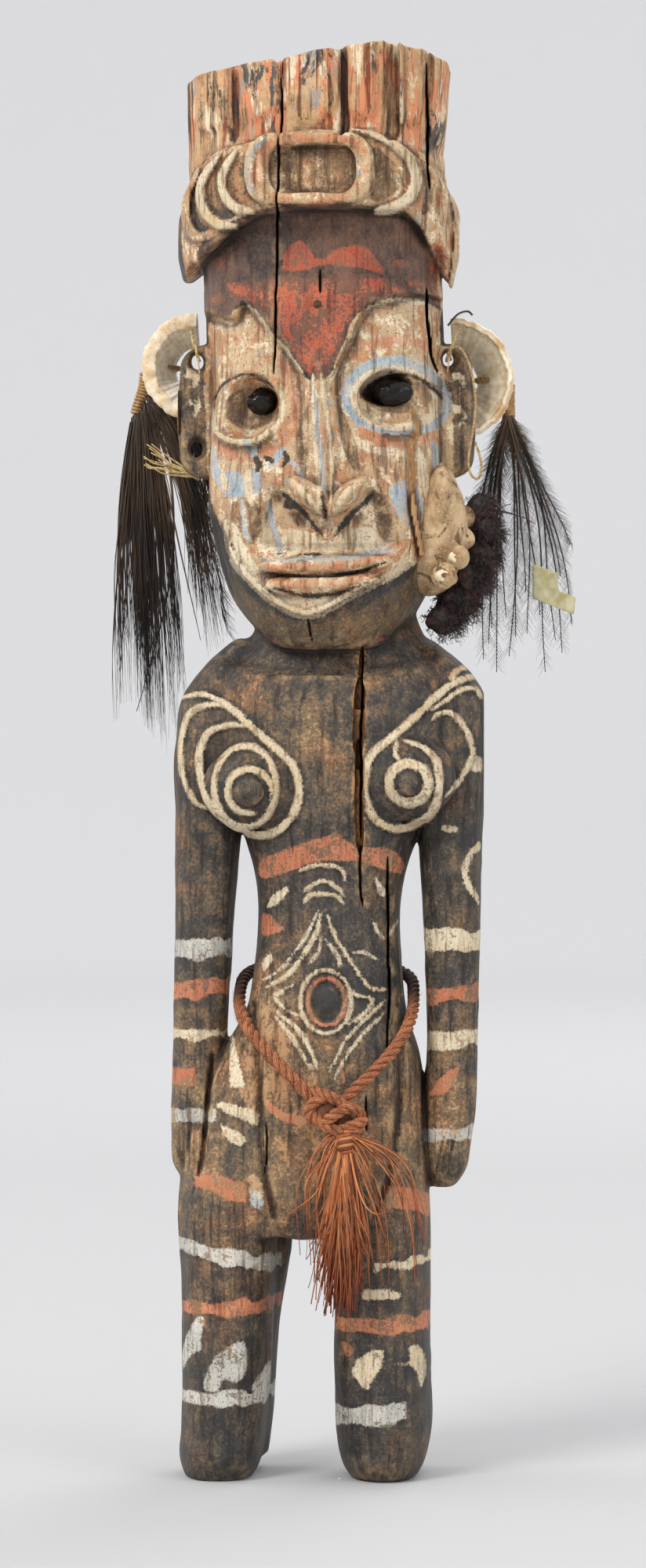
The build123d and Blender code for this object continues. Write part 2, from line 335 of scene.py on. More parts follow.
def resampled(line, spacing):
    """The same line with evenly spaced points."""
    travel = travelled(line)
    at = np.linspace(0, travel[-1], max(int(round(travel[-1] / spacing)), 2) + 1)
    return np.stack([np.interp(at, travel, column) for column in line.T], axis=1)


def travelled(line):
    """The length along a line up to each of its points."""
    return np.concatenate([[0], np.cumsum(np.linalg.norm(np.diff(line, axis=0), axis=1))])


def twisted(line, strands, offset, pitch, phase=0.0):
    """Centre lines of strands wound round a line."""
    across, up = carried_frames(line[None])
    travel = travelled(line)
    result = []
    for strand in range(strands):
        turn = phase + 2 * np.pi * (travel / pitch + strand / strands)
        result.append(line + offset * (np.cos(turn)[:, None] * across[0] + np.sin(turn)[:, None] * up[0]))
    return np.array(result)


def joined(*parts):
    """Several shapes as one."""
    points, faces, attributes, start = [], [], {}, 0
    for part_points, part_faces, part_attributes in parts:
        points.append(part_points)
        faces += [[corner + start for corner in face] for face in part_faces]
        for label, values in part_attributes.items():
            attributes.setdefault(label, []).append(values)
        start += len(part_points)
    return np.vstack(points), faces, {label: np.concatenate(values) for label, values in attributes.items()}


# ---------------------------------------------------------------- cords
ROPE_DIAMETER = 7.6
# The belt's centre line, from the knot round the left hip, behind the waist and back to the knot
BELT_ROUTE = [
    (2, -58.5, 232), (-9, -58, 243), (-22, -55, 256), (-35, -49, 269), (-46, -38, 281),
    (-51, -22, 293), (-51.3, -3, 303), (-50.5, 16, 309), (-45, 34, 313), (-30, 46, 316),
    (-10, 51, 317), (10, 51.5, 316.5), (31, 47, 315), (48, 36, 312), (55.5, 18, 307),
    (56.5, -2, 299.5), (57, -21, 289.5), (53, -39, 277), (43, -50.5, 263), (31, -56, 251),
    (20, -58, 241), (13, -58.5, 232),
]
# The string in the right ear: out of the hole, over its own wrapping, down, round its loop and up
STRING_ROUTE = [
    (77.2, -8, 691.6), (77.2, -18, 692.4), (79.8, -22, 699), (86, -21, 699.5), (90.5, -20, 692),
    (93.5, -20, 682), (95.5, -20.5, 669), (95, -20, 655), (92.5, -20, 641), (90.5, -20, 629),
    (92, -20, 620.5), (96.5, -20.5, 617), (99.5, -21, 622), (98.5, -20.5, 632), (95, -18, 641),
]


def cord_line(route, spacing):
    """The smooth line of a cord: a NURBS spline with the route's points as its control points."""
    data = bpy.data.curves.new("cord_line", "CURVE")
    data.dimensions = "3D"
    data.resolution_u = 16
    spline = data.splines.new("NURBS")
    spline.points.add(len(route) - 1)
    for point, position in zip(spline.points, place(route)):
        point.co = (*position, 1)
    spline.order_u = 3
    spline.use_endpoint_u = True
    holder = link("cord_line", data)
    mesh = bpy.data.meshes.new_from_object(holder)
    line = np.array([vertex.co for vertex in mesh.vertices])
    bpy.data.objects.remove(holder)
    bpy.data.curves.remove(data)
    bpy.data.meshes.remove(mesh)
    return resampled((line - FIGURE_ORIGIN) / MM, spacing)


def rope_material():
    shader = Shader("rope_fibre", roughness=0.78)
    hairs = shader.noise(900, 4, 0.6)
    broad = shader.noise(120, 3)
    # Painted shade: the rope darkens by its shade value and in the grooves between its fibre ridges.
    groove = shader.step(shader.attribute("ridge"), 0.05, 0.7)
    colour = shader.grade(broad, 0.35, 0.65, "84472a", "b56f44")
    colour = shader.grade(hairs, 0.5, 0.75, colour, "d69c6a")
    colour = shader.grade(shader.attribute("shade"), 0.0, 1.0, colour, "4a2c1f")
    colour = shader.times(shader.math("SUBTRACT", 1.0, groove), colour, "8a5a40")
    shader.bump(hairs, 0.5, 0.9)
    return shader.finish(colour)


def string_material():
    shader = Shader("straw_string", roughness=0.75)
    colour = shader.grade(shader.noise(700, 3), 0.35, 0.7, "8c6a45", "d8bd8c")
    shader.bump(shader.noise(1500, 3), 0.2, 0.7)
    return shader.finish(colour)


def rope_strands(line, diameter, pitch, phase=0.0):
    """Three strands laid round each other, each with fibres winding round it the other way."""
    radius, sides = 0.232 * diameter, 24
    lines = twisted(line, 3, 0.5 * diameter - radius, pitch, phase)
    swell = 1 + 0.04 * np.sin(np.linspace(0, 40, len(line)))
    shape = tubes(lines, radius * swell, sides, ridges=7, ridge_height=0.1,
                  ridge_turns=travelled(line)[-1] / (2.1 * diameter))
    reach = np.linalg.norm(shape[0].reshape(3, len(line), sides, 3) - line[None, :, None], axis=-1)
    shape[2]["shade"] = np.clip(1.9 - 2.2 * reach.ravel() / (0.5 * diameter), 0, 0.9)
    return shape


ROPE = rope_material()
STRING = string_material()
belt_line = cord_line(BELT_ROUTE, 1.1)
belt = rope_strands(belt_line, ROPE_DIAMETER, pitch=19)
# The rope is darker where it runs high behind the waist; this goes into its shade value.
darker_behind_waist = np.clip((belt[0][:, 2] - 286) / 14, 0, 1) * np.clip(0.5 + (belt[0][:, 1] + 30) / 30, 0, 1)
belt[2]["shade"] = np.maximum(belt[2]["shade"], darker_behind_waist)
belt_rope = add_piece("belt_rope", belt, ROPE, "figure", "rope", "belt_rope")

string_line = cord_line(STRING_ROUTE, 0.45)
ear_string = add_piece(
    "right_ear_string",
    tubes(twisted(string_line, 2, 0.42, 4.2), 0.46, 9, ridges=3, ridge_height=0.12, ridge_turns=50),
    STRING, "figure", "string", "right_ear_string")


def strays(line, count, reach, length, thickness):
    """The shape of loose hairs that stand a little off a rope."""
    across, up = carried_frames(line[None])
    hairs = []
    for _ in range(count):
        start = random.integers(0, len(line) - 2)
        span = int(length * random.uniform(0.4, 1.2))
        turn = random.uniform(0, 2 * math.pi)
        rise = reach * random.uniform(0.7, 1.3)
        hair = []
        for t in np.linspace(0, 1, 7):
            i = min(start + int(t * span), len(line) - 1)
            out = rise * (0.82 + 0.3 * t * t)
            wind = turn + 2.2 * t
            hair.append(line[i] + out * (math.cos(wind) * across[0, i] + math.sin(wind) * up[0, i]))
        hairs.append(hair)
    radii = np.linspace(1, 0.35, 7)[None, :] * thickness * random.uniform(0.7, 1.3, (count, 1))
    shape = tubes(hairs, radii, 3)
    shape[2]["shade"] = np.zeros(len(shape[0]))
    return shape


belt_hairs = add_piece("belt_rope_hairs", strays(belt_line, 240, ROPE_DIAMETER / 2, 14, 0.11), ROPE, "figure",
                       "rope")


# ---------------------------------------------------------------- the carving's shape
# The log is a field of distances on a grid, in millimetres and below 0 inside it. Limbs are joined to
# it, hollows are cut from it, and its surface is then turned into a mesh.
GRID_STEP = 1.15
GRID_LOW = np.array((-99.0, -108.0, -4.6))
GRID_HIGH = np.array((101.0, 77.0, 889.0))
FAR = 20.0
AXES = [
    np.arange(low, high, GRID_STEP, dtype=np.float32) for low, high in zip(GRID_LOW, GRID_HIGH)
]
field = np.full([len(axis) for axis in AXES], FAR, np.float32)
SQUARENESS = 2.35

# Level outlines of each limb: (height, centre x, centre y, half width, half depth)
LEFT_LEG = [
    (0, -64, 0, 21, 36), (9, -63.5, 0, 24.5, 42), (30, -62, 0, 26, 44), (60, -60, 1, 27.5, 46),
    (120, -59, 1, 29, 46), (170, -58, 0, 32, 45), (215, -54, 0, 30, 40),
]
LEFT_CALF = [
    (10, -46, 26, 10, 18), (30, -47, 25, 14, 21), (90, -44, 23, 15, 22), (150, -36, 20, 16, 22),
    (175, -34, 16, 12, 20),
]
RIGHT_LEG = [
    (0, 38, 1, 20, 37), (6, 38, 1, 24, 42), (22, 38, 2, 28.5, 45), (60, 37.5, 2, 30, 46),
    (120, 37, 1, 29.5, 46), (170, 35, 0, 31.5, 45), (215, 31, 0, 29, 40),
]
BETWEEN_THIGHS = [
    (149, -8, -10, 16, 24), (160, -8, -12, 22, 33), (200, -8, -12, 23, 36), (222, -8, -8, 18, 34),
]
TORSO = [
    (151, -11, 0, 73, 41), (185, -10.5, 0, 75.5, 47), (230, -8, 0, 71, 48), (262, -2, 0, 62, 46.5),
    (290, 2, 0, 50, 44), (312, 3, 0, 46.5, 43), (357, 4, 0, 44.5, 42), (389, 5, 0, 51, 45),
    (418, 5.5, 0, 63, 49), (450, 6, 0, 76, 51), (485, 6.5, 0, 79, 49), (505, 7.5, 2, 67, 44),
    (522, 9, 4, 54, 39), (540, 9, 5, 47, 38), (560, 9, 6, 43, 40),
]
LEFT_ARM = [
    (187, -82, 0, 8, 13), (194, -82, 0, 11, 17), (214, -80.5, 0, 14, 20), (262, -77, 0, 16.5, 20),
    (312, -75, 0, 17.5, 21), (360, -73.5, 0, 18.5, 23), (410, -71, 0, 21, 26),
    (455, -68, 0, 24, 30), (488, -61.5, 1, 24, 28), (504, -54, 2, 19, 25), (520, -44, 3, 11, 18),
]
RIGHT_ARM = [
    (180, 74, 0, 8, 11), (188, 76, 0, 12, 16), (208, 78, 0, 15, 19), (262, 80.5, 0, 16, 20),
    (312, 80.5, 0, 17, 21), (360, 80, 0, 18.5, 23), (410, 79, 0, 21, 26), (455, 77, 0, 25, 30),
    (488, 73, 1, 26, 28), (504, 66, 2, 21, 25), (520, 56, 3, 12, 18),
]
HEAD = [
    (508, 4, -24, 22, 24), (514, 4, -23, 36, 36), (524, 4, -22, 46, 45), (542, 4, -18, 59, 54),
    (574, 3, -14, 69, 62), (625, 2, -11, 73.5, 66), (690, 2, -9, 74, 67), (750, 0, -8, 74, 66),
    (812, -3, -6, 76, 66),
]
CROWN = [(775, -5, -6, 76, 65), (818, -4, -5, 78.5, 67), (890, -2, -3, 83, 70)]
NOSE = [
    (690, 2.5, -66, 4, 6), (670, 3, -70, 6, 10), (645, 3.5, -76, 10, 14), (622, 4.5, -82, 13, 16),
    (606, 5.5, -85, 14, 16), (594, 6, -87, 10.5, 14), (584, 6.5, -89, 5.5, 11), (577, 7, -90, 2, 5),
]
CROWN_TOP = [
    (-100, 861), (-28, 871), (-24, 868), (-20, 871), (8, 877), (13, 876), (17, 879), (40, 882),
    (64, 879), (82, 873), (100, 872),
]


def between(at, stations, values):
    """Values at heights or places between stations, on a smooth curve."""
    at = np.clip(at, stations[0], stations[-1])
    slopes = np.gradient(values, stations)
    i = np.clip(np.searchsorted(stations, at) - 1, 0, len(stations) - 2)
    span = stations[i + 1] - stations[i]
    t = (at - stations[i]) / span
    ahead = t * t * (3 - 2 * t)
    return (
        values[i] * (1 - ahead) + values[i + 1] * ahead
        + span * (t * (1 - t) ** 2 * slopes[i] - t * t * (1 - t) * slopes[i + 1])
    )


def smooth_min(a, b, blend):
    overlap = np.maximum(blend - np.abs(a - b), 0) / blend
    return np.minimum(a, b) - overlap * overlap * (blend / 4)


def smooth_max(a, b, blend):
    return -smooth_min(-a, -b, blend)


def window(low, high):
    """The part of the grid inside a box, and its x, y and z."""
    cuts = []
    for axis, a, b in zip(AXES, low, high):
        start, stop = np.searchsorted(axis, (a, b))
        cuts.append(slice(max(int(start) - 1, 0), int(stop) + 1))
    x = AXES[0][cuts[0]][:, None, None]
    y = AXES[1][cuts[1]][None, :, None]
    z = AXES[2][cuts[2]][None, None, :]
    return tuple(cuts), x, y, z


def add(low, high, shape, blend):
    """Joins a shape to the log, with a smooth corner as wide as blend."""
    cuts, x, y, z = window(low, high)
    field[cuts] = smooth_min(field[cuts], shape(x, y, z).astype(np.float32), blend)


def cut(low, high, shape, blend):
    """Cuts a shape from the log, with a smooth corner as wide as blend."""
    cuts, x, y, z = window(low, high)
    field[cuts] = smooth_max(field[cuts], -shape(x, y, z).astype(np.float32), blend)


def add_limb(stations, blend, round_ends=4.0):
    """Joins a limb with squared-off round outlines, smooth between its stations."""
    heights, *columns = np.array(stations, float).T
    margin = 9  # how far round the limb the field is worked out

    def shape(x, y, z):
        cx, cy, half_width, half_depth = (between(z, heights, column) for column in columns)
        u = np.abs(x - cx)
        v = np.abs(y - cy)
        share = ((u / half_width) ** SQUARENESS + (v / half_depth) ** SQUARENESS) ** (1 / SQUARENESS)
        share = np.maximum(share, 0.05)
        radial = np.maximum(np.sqrt(u * u + v * v), 0.05 * half_width)
        side = radial * (1 - 1 / share)
        ends = np.maximum(heights[0] - z, z - heights[-1])
        return smooth_max(side, ends + 0 * side, round_ends)

    cx, cy, half_width, half_depth = columns
    low = ((cx - half_width).min() - margin, (cy - half_depth).min() - margin, heights[0] - margin)
    high = ((cx + half_width).max() + margin, (cy + half_depth).max() + margin, heights[-1] + margin)
    add(low, high, shape, blend)


def pebble(centre, radii, turn=0.0):
    """A rounded lump or hollow, turned about the viewing direction. Gives its box and its field."""
    cx, cy, cz = centre
    a, b, c = radii
    cos, sin = math.cos(math.radians(turn)), math.sin(math.radians(turn))

    def shape(x, y, z):
        u = (x - cx) * cos - (z - cz) * sin
        w = (x - cx) * sin + (z - cz) * cos
        v = y - cy
        share = np.sqrt((u / a) ** 2 + (v / b) ** 2 + (w / c) ** 2)
        slope = np.sqrt((u / a ** 2) ** 2 + (v / b ** 2) ** 2 + (w / c ** 2) ** 2)
        return share * (share - 1) / np.maximum(slope, 1e-4)

    reach = np.array((max(a, c), b, max(a, c))) + 8
    return np.array(centre) - reach, np.array(centre) + reach, shape


def rounded_slab(x, z, cx, cz, half_width, half_height, corner):
    """Distance in x and z from a rounded rectangle."""
    u = np.abs(x - cx) - half_width + corner
    w = np.abs(z - cz) - half_height + corner
    return np.sqrt(np.maximum(u, 0) ** 2 + np.maximum(w, 0) ** 2) + np.minimum(np.maximum(u, w), 0) - corner


def ellipse(cx, cz, half_width, half_height, start=0, stop=360):
    """24 points round an ellipse in x and z, from start to stop degrees."""
    at = np.radians(np.linspace(start, stop, 24, endpoint=stop - start < 360))
    return np.stack([cx + half_width * np.cos(at), cz + half_height * np.sin(at)], axis=1)


def stroke_distance(px, pz, line, half_width):
    """Distance in x and z from a stroke's edge, below 0 inside it. It thins out towards its ends."""
    best = np.full(px.shape, 1e3, np.float32)
    for i in range(len(line) - 1):
        (ax, az), (bx, bz) = line[i], line[i + 1]
        dx, dz = bx - ax, bz - az
        t = np.clip(((px - ax) * dx + (pz - az) * dz) / max(dx * dx + dz * dz, 1e-9), 0, 1)
        width = half_width[i] + (half_width[i + 1] - half_width[i]) * t
        best = np.minimum(best, np.hypot(px - ax - t * dx, pz - az - t * dz) - width)
    return best


def patch_distance(px, pz, outline):
    """Distance in x and z from a closed outline, below 0 inside it."""
    best = np.full(px.shape, 1e3, np.float32)
    inside = np.zeros(px.shape, bool)
    for (ax, az), (bx, bz) in zip(outline, np.roll(outline, -1, axis=0)):
        dx, dz = bx - ax, bz - az
        t = np.clip(((px - ax) * dx + (pz - az) * dz) / max(dx * dx + dz * dz, 1e-9), 0, 1)
        best = np.minimum(best, np.hypot(px - ax - t * dx, pz - az - t * dz))
        if dz:
            inside ^= ((az > pz) != (bz > pz)) & (px < ax + dx * (pz - az) / dz)
    return np.where(inside, -best, best)


def stroke_line(points, width, closed):
    """The smooth line of a painted or carved stroke and its half width at each point."""
    line = smooth_line(points, samples=4, closed=closed)
    t = np.linspace(-1, 1, len(line))
    half = np.full(len(line), width / 2) if closed else width / 2 * (1 - 0.6 * t ** 6)
    return line, half


def is_ring(points):
    """Whether a stroke's ends are as close as its neighbouring points are, so that it closes."""
    (x0, z0), (x1, z1), (x2, z2) = points[0], points[1], points[-1]
    return math.hypot(x2 - x0, z2 - z0) < 1.5 * math.hypot(x1 - x0, z1 - z0)


relief = np.zeros((len(AXES[0]), len(AXES[2])), np.float32)
RELIEF_X, RELIEF_Z = np.meshgrid(AXES[0], AXES[2], indexing="ij")


def raise_front(points, width, height, closed=False, soft=1.5, filled=False, fade=None):
    """Raises or, below 0, sinks a stroke or a filled outline on the front of the log.

    With fade, its height runs out from the upper to the lower of two heights."""
    margin = width / 2 + soft
    low, high = np.min(points, axis=0) - margin, np.max(points, axis=0) + margin
    (x0, x1), (z0, z1) = (np.searchsorted(axis, (a, b)) for axis, a, b in
                          ((AXES[0], low[0], high[0]), (AXES[2], low[1], high[1])))
    px, pz = RELIEF_X[x0:x1, z0:z1], RELIEF_Z[x0:x1, z0:z1]
    if filled:
        distance = patch_distance(px, pz, smooth_line(points, samples=4, closed=True)[:-1])
    else:
        distance = stroke_distance(px, pz, *stroke_line(points, width, closed))
    share = np.clip(0.5 - distance / soft, 0, 1)
    share = share * share * (3 - 2 * share) * height
    if fade:
        share = share * np.clip((pz - fade[0]) / (fade[1] - fade[0]), 0, 1)
    here = relief[x0:x1, z0:z1]
    here[:] = np.where(np.abs(share) > np.abs(here), share, here) if height > 0 else here + share


def uneven(spacing, height, seed):
    """Low bumps all over, like the marks of a blade: one random value every so often, smooth between."""
    source = np.random.default_rng(seed)
    counts = [int(len(axis) * GRID_STEP / step) + 3 for axis, step in zip(AXES, spacing)]
    values = source.uniform(-1, 1, counts).astype(np.float32) * height
    for direction, (axis, step) in enumerate(zip(AXES, spacing)):
        place_on = (axis - axis[0]) / step
        i = place_on.astype(int)
        t = place_on - i
        t = (t * t * (3 - 2 * t)).astype(np.float32)
        shape = [1, 1, 1]
        shape[direction] = -1
        values = (
            np.take(values, i, direction) * (1 - t.reshape(shape))
            + np.take(values, i + 1, direction) * t.reshape(shape)
        )
    return values


# ---------------------------------------------------------------- raised and painted motifs
# Each motif: (paint, width, height of relief, points). One paint takes other paint off and shows the dark
# ground, which under the nose's wings is painted shadow.
LEFT_BREAST = [
    ("cream", 4.4, 1.6, ellipse(-45, 428, 19, 25)),
    ("cream", 5.4, 1.8, [(-88, 483), (-73, 485), (-59, 479), (-45, 468), (-32, 456), (-20, 446), (-14, 437),
        (-12, 423), (-16, 411), (-24, 402), (-35, 398), (-47, 400), (-59, 409), (-68, 418), (-73, 429),
        (-75, 444), (-73, 454), (-68, 462), (-55, 466), (-45, 465)]),
    ("cream", 4.0, 1.4, [(-45, 471), (-58, 478), (-72, 478), (-82, 472), (-86, 460), (-87, 444), (-84, 430),
        (-78, 419), (-70, 414)]),
    ("cream", 4.7, 1.8, ellipse(-42, 425, 13.5, 13.5, -20, 285)),
]
RIGHT_BREAST = [
    ("cream", 5.4, 1.8, [(103, 496), (93, 496), (81, 491), (69, 481), (56, 468), (42, 456), (33, 448),
        (29, 438), (28, 425), (31, 414), (37, 406), (46, 402), (57, 404), (68, 411), (73, 421), (74, 433),
        (72, 444), (64, 452), (53, 456)]),
    ("tan", 3.6, 1.3, [(80, 493), (83, 499), (89, 502), (97, 501), (103, 496)]),
    ("cream", 3.6, 1.4, [(99, 483), (95, 488), (88, 488), (80, 483), (69, 475)]),
    ("cream", 3.6, 1.4, [(69, 469), (73, 473), (81, 473), (89, 464), (93, 454), (93, 446), (89, 437),
        (84, 429), (77, 422)]),
    ("cream", 3.2, 1.2, [(48, 456), (47, 448), (50, 444)]),
    ("cream", 6.4, 1.8, ellipse(55.5, 430, 12, 12)),
]
CREST_BANDS = [
    ("salmon", 6.0, 0.6, [(-32, 786), (-34, 800), (-30, 813), (-16, 818), (0, 819), (18, 818), (28, 813),
        (31, 801), (29, 790)]),
    ("blue", 3.0, 0.4, [(-38, 786), (-41, 800), (-37, 812), (-28, 819)]),
    ("salmon", 3.0, 0.0, [(-47, 806), (-49, 797), (-46, 789)]),
    ("salmon", 4.0, 0.4, [(-30, 785), (-16, 782), (4, 781), (22, 784)]),
    ("cream", 6.0, 3.0, [(-49, 813), (-56, 803), (-58, 794), (-54, 784), (-47, 778), (-38, 776)]),
    ("cream", 6.2, 3.0, [(-60, 811), (-70, 799), (-72, 788), (-68, 777), (-60, 770), (-49, 768)]),
    ("tan", 6.6, 3.0, [(-73, 806), (-81, 792), (-82, 778), (-78, 767), (-70, 762)]),
    ("cream", 6.4, 2.8, [(22, 826), (36, 823), (48, 817), (57, 808), (60, 797), (57, 787), (48, 780),
        (36, 777)]),
    ("tan", 6.0, 1.6, [(62, 815), (73, 802), (77, 788), (76, 774)]),
    ("tan", 5.5, 2.0, [(74, 806), (81, 794), (85, 780), (85, 764), (83, 745), (78, 728)]),
]
BELLY = [
    ("cream", 2.8, 0.8, [(-13, 376), (-6, 379), (2, 380), (10, 379), (15, 375), (16, 370)]),
    ("cream", 2.6, 0.7, [(-9, 364), (-4, 368), (3, 370), (11, 366), (15, 361)]),
    ("cream", 2.6, 0.7, [(-10, 356), (-6, 361), (1, 362), (10, 361), (15, 356)]),
    ("cream", 2.2, 0.6, [(-1, 352), (-6, 340), (-14, 328), (-25, 315), (-37, 308)]),
    ("cream", 3.2, 0.9, [(1, 350), (-2, 338), (-9, 326), (-19, 313), (-34, 304)]),
    ("cream", 2.6, 0.8, [(4, 352), (9, 338), (16, 326), (25, 312), (32, 304), (41, 303)]),
    ("cream", 3.0, 0.8, [(-28, 287), (-19, 277), (-11, 265), (-4, 255)]),
    ("cream", 3.2, 0.9, [(-26, 289), (-14, 280), (-6, 268), (-1, 255)]),
    ("cream", 2.3, 0.7, [(40, 296), (29, 286), (17, 274), (11, 262), (6, 253)]),
    ("cream", 2.3, 0.7, [(39, 288), (27, 276), (17, 263), (9, 248)]),
    ("cream", 2.2, 0.5, [(1, 336), (0, 328), (-7, 318)]),
    ("cream", 2.4, 0.5, [(3, 335), (11, 324), (13, 315)]),
    ("cream", 2.8, 1.2, ellipse(4, 296, 15.6, 19.3)),
    ("salmon", 3.6, 1.0, ellipse(4.5, 296, 11.4, 14.4)),
    ("cream", 2.6, 0.7, [(-15, 307), (-25, 301), (-28, 298), (-22, 292), (-14, 288)]),
    ("cream", 2.8, 0.8, [(20, 303), (23, 300), (31, 298), (32, 295), (27, 288), (18, 282)]),
    ("cream", 1.6, 0.0, [(32, 347), (36, 338), (41, 335), (48, 347)]),
    ("cream", 1.6, 0.0, [(19, 326), (28, 326), (36, 321)]),
    ("salmon", 5.5, 0.0, [(-34, 236), (-26, 228), (-16, 224), (-3, 223)]),
    ("salmon", 1.8, 0.0, [(13, 257), (15, 249), (17, 241)]),
]
FACE = [
    ("cream", 5.5, 2.2, [(-57, 590), (-56, 577), (-51, 565), (-43, 556), (-33, 546), (-24, 539), (-14, 534),
        (-3, 533), (8, 537), (16, 542), (30, 549), (46, 557), (58, 565)]),
    ("blue", 3.2, 0.0, [(-34, 566), (-20, 566), (0, 566), (20, 567), (36, 571), (46, 572)]),
    ("salmon", 4.6, 0.6, [(-34, 562), (-20, 561), (-1, 560.5), (19, 562), (36, 566), (46, 569)]),
    ("salmon", 5.0, 0.6, [(-31, 554), (-15, 551), (-1, 550), (19, 552), (36, 558), (45, 563)]),
    ("cream", 5.0, 4.4, [(-67, 662), (-66, 650), (-59, 642), (-48, 638), (-36, 639), (-27, 646), (-22, 656),
        (-22, 668)]),
    ("salmon", 7.0, 0.8, [(-66, 643), (-56, 633), (-44, 629), (-30, 631), (-18, 641), (-13, 656),
        (-17, 676), (-24, 690)]),
    ("blue", 7.0, 4.2, ellipse(47.5, 666, 29.5, 21.5)),
    ("cream", 4.6, 4.2, ellipse(47.5, 665, 24.6, 17.4)),
    ("salmon", 7.0, 0.8, [(26, 646), (36, 640), (50, 637), (64, 640), (75, 648)]),
    ("salmon", 7.0, 0.6, [(28, 694), (42, 700), (58, 701), (72, 695)]),
    ("cream", 3.2, 1.6, [(-67, 713), (-60, 711), (-53, 712)]),
    ("cream", 2.6, 1.8, [(-42, 721), (-36, 715), (-28, 703), (-20, 695), (-13, 685), (-7, 677)]),
    ("tan", 3.2, 2.2, [(9, 677), (18, 696), (22, 708), (30, 717), (43, 722), (66, 724)]),
    ("cream", 2.6, 1.0, [(32, 719), (44, 724), (56, 725), (68, 725)]),
    # Cream along the nose's ridge: cream paint, and partly a painted highlight.
    ("cream", 3.2, 0.9, [(-2, 678), (-1, 655), (0, 630), (2, 608), (5, 588)]),
    ("cream", 2.4, 0.9, [(3, 678), (6, 655), (9, 630), (9, 610), (8, 592)]),
    ("blue", 2.8, 0.0, [(-1, 668), (1, 645), (4, 620), (5, 598)]),
    ("dark", 3.0, -0.8, [(4, 606), (5, 598), (5.5, 589)]),
    # Cream on the tops of the nose's wings: painted highlight.
    ("cream", 4.2, 0.8, [(-17, 613), (-11, 610), (-5, 603), (2, 594)]),
    ("cream", 4.2, 0.8, [(30, 613), (23, 610), (17, 603), (11, 594)]),
    # Dark ground under the nose's wings: painted shadow.
    ("bare_and_shadow", 3.0, 0.0, [(-21, 607), (-14, 600), (-6, 592), (3, 581)]),
    ("bare_and_shadow", 3.0, 0.0, [(34, 607), (28, 600), (20, 592), (11, 581)]),
    ("blue", 2.6, 0.0, [(-17, 626), (-12, 622), (-7, 612)]),
    ("dark", 1.8, 0.0, [(-24, 569.5), (-10, 569), (2, 569.5)]),
    ("dark", 1.5, -1.2, [(-33, 558.5), (-15, 556), (3, 555.5), (22, 557.5), (42, 564)]),
    # Brown paint in the slit by the right eye's outer corner: grime and painted shade.
    ("shade_and_grime", 5.0, -0.8, [(54, 671), (62, 673.5), (71, 676)]),
    ("dark", 2.0, 0.0, [(-26, 548.5), (-12, 545), (0, 544), (16, 546), (32, 552)]),
    # Dark strokes under the upper lids' edges: painted shadow.
    ("dark", 2.4, -0.6, [(-67, 668), (-60, 675), (-49, 679.5), (-37, 679), (-26, 671)]),
    ("dark", 2.4, -0.6, [(26, 666), (32, 674), (44, 679.5), (58, 679), (70, 673), (75, 668)]),
]
CHEEKS = [
    ("blue", 4.6, 0.0, [(-45, 640), (-40, 633), (-37, 628)]),
    ("blue", 5.0, 0.0, [(-29, 622), (-24, 629), (-19, 634)]),
    ("dark", 3.6, 0.0, [(-38, 628), (-35, 624), (-37, 620)]),
    ("dark", 3.2, 0.0, [(-31, 628), (-28, 626)]),
    ("dark", 3.0, 0.0, [(-20, 632), (-18, 627), (-21, 623)]),
    ("blue", 3.2, 0.0, [(-46, 603), (-45, 593), (-44, 583), (-41, 578)]),
    ("blue", 4.4, 0.0, [(-30, 602), (-28, 590), (-24, 578), (-22, 570)]),
    ("cream", 5.0, 0.0, [(-52, 588), (-48, 577), (-42, 566), (-36, 559)]),
    ("cream", 4.0, 0.0, [(-42, 622), (-42, 610), (-40, 600)]),
    ("cream", 4.0, 0.0, [(-59, 618), (-56, 611)]),
    ("cream", 4.0, 0.4, [(-29, 567), (-20, 568), (-12, 570)]),
    ("cream", 4.0, 0.0, [(24, 640), (30, 634), (40, 632), (52, 632)]),
    ("blue", 5.0, 0.0, [(70, 640), (72, 625), (72, 612), (70, 600)]),
    ("cream", 5.0, 0.0, [(60, 636), (64, 622), (64, 606)]),
]
FOREHEAD = [
    ("red", 3.6, 0.0, [(-49, 533), (-36, 522), (-21, 515), (-1, 511), (19, 513), (36, 518), (49, 520),
        (61, 527)]),
]
# (paint, x from, x to, z from, z to, slope in x)
ARM_BANDS = [
    ("white", -96, -56, 321.5, 334, 0.05), ("salmon", -96, -56, 297, 309, 0.1),
    ("cream", -96, -56, 271.5, 278, 0.0), ("salmon", -96, -78, 243, 254, -0.1),
    ("white", -96, -64, 220, 229, 0.1), ("salmon", -78, -45, 176, 189, -0.25),
    ("cream", 62, 100, 326, 340, -0.05), ("salmon", 62, 100, 294, 305, 0.1),
    ("cream", 62, 100, 266, 277, 0.1), ("white", 62, 100, 208.5, 217, 0.1),
    ("white", -92, -26, 134, 145, -0.2), ("salmon", -92, -26, 102, 112.5, 0.03),
    ("white", -92, -30, 47, 57, 0.0), ("cream", 34, 69, 132, 138.5, 0.12),
    ("salmon", 5, 69, 91.5, 103, 0.04), ("white", 5, 53, 35, 48, 0.12),
]
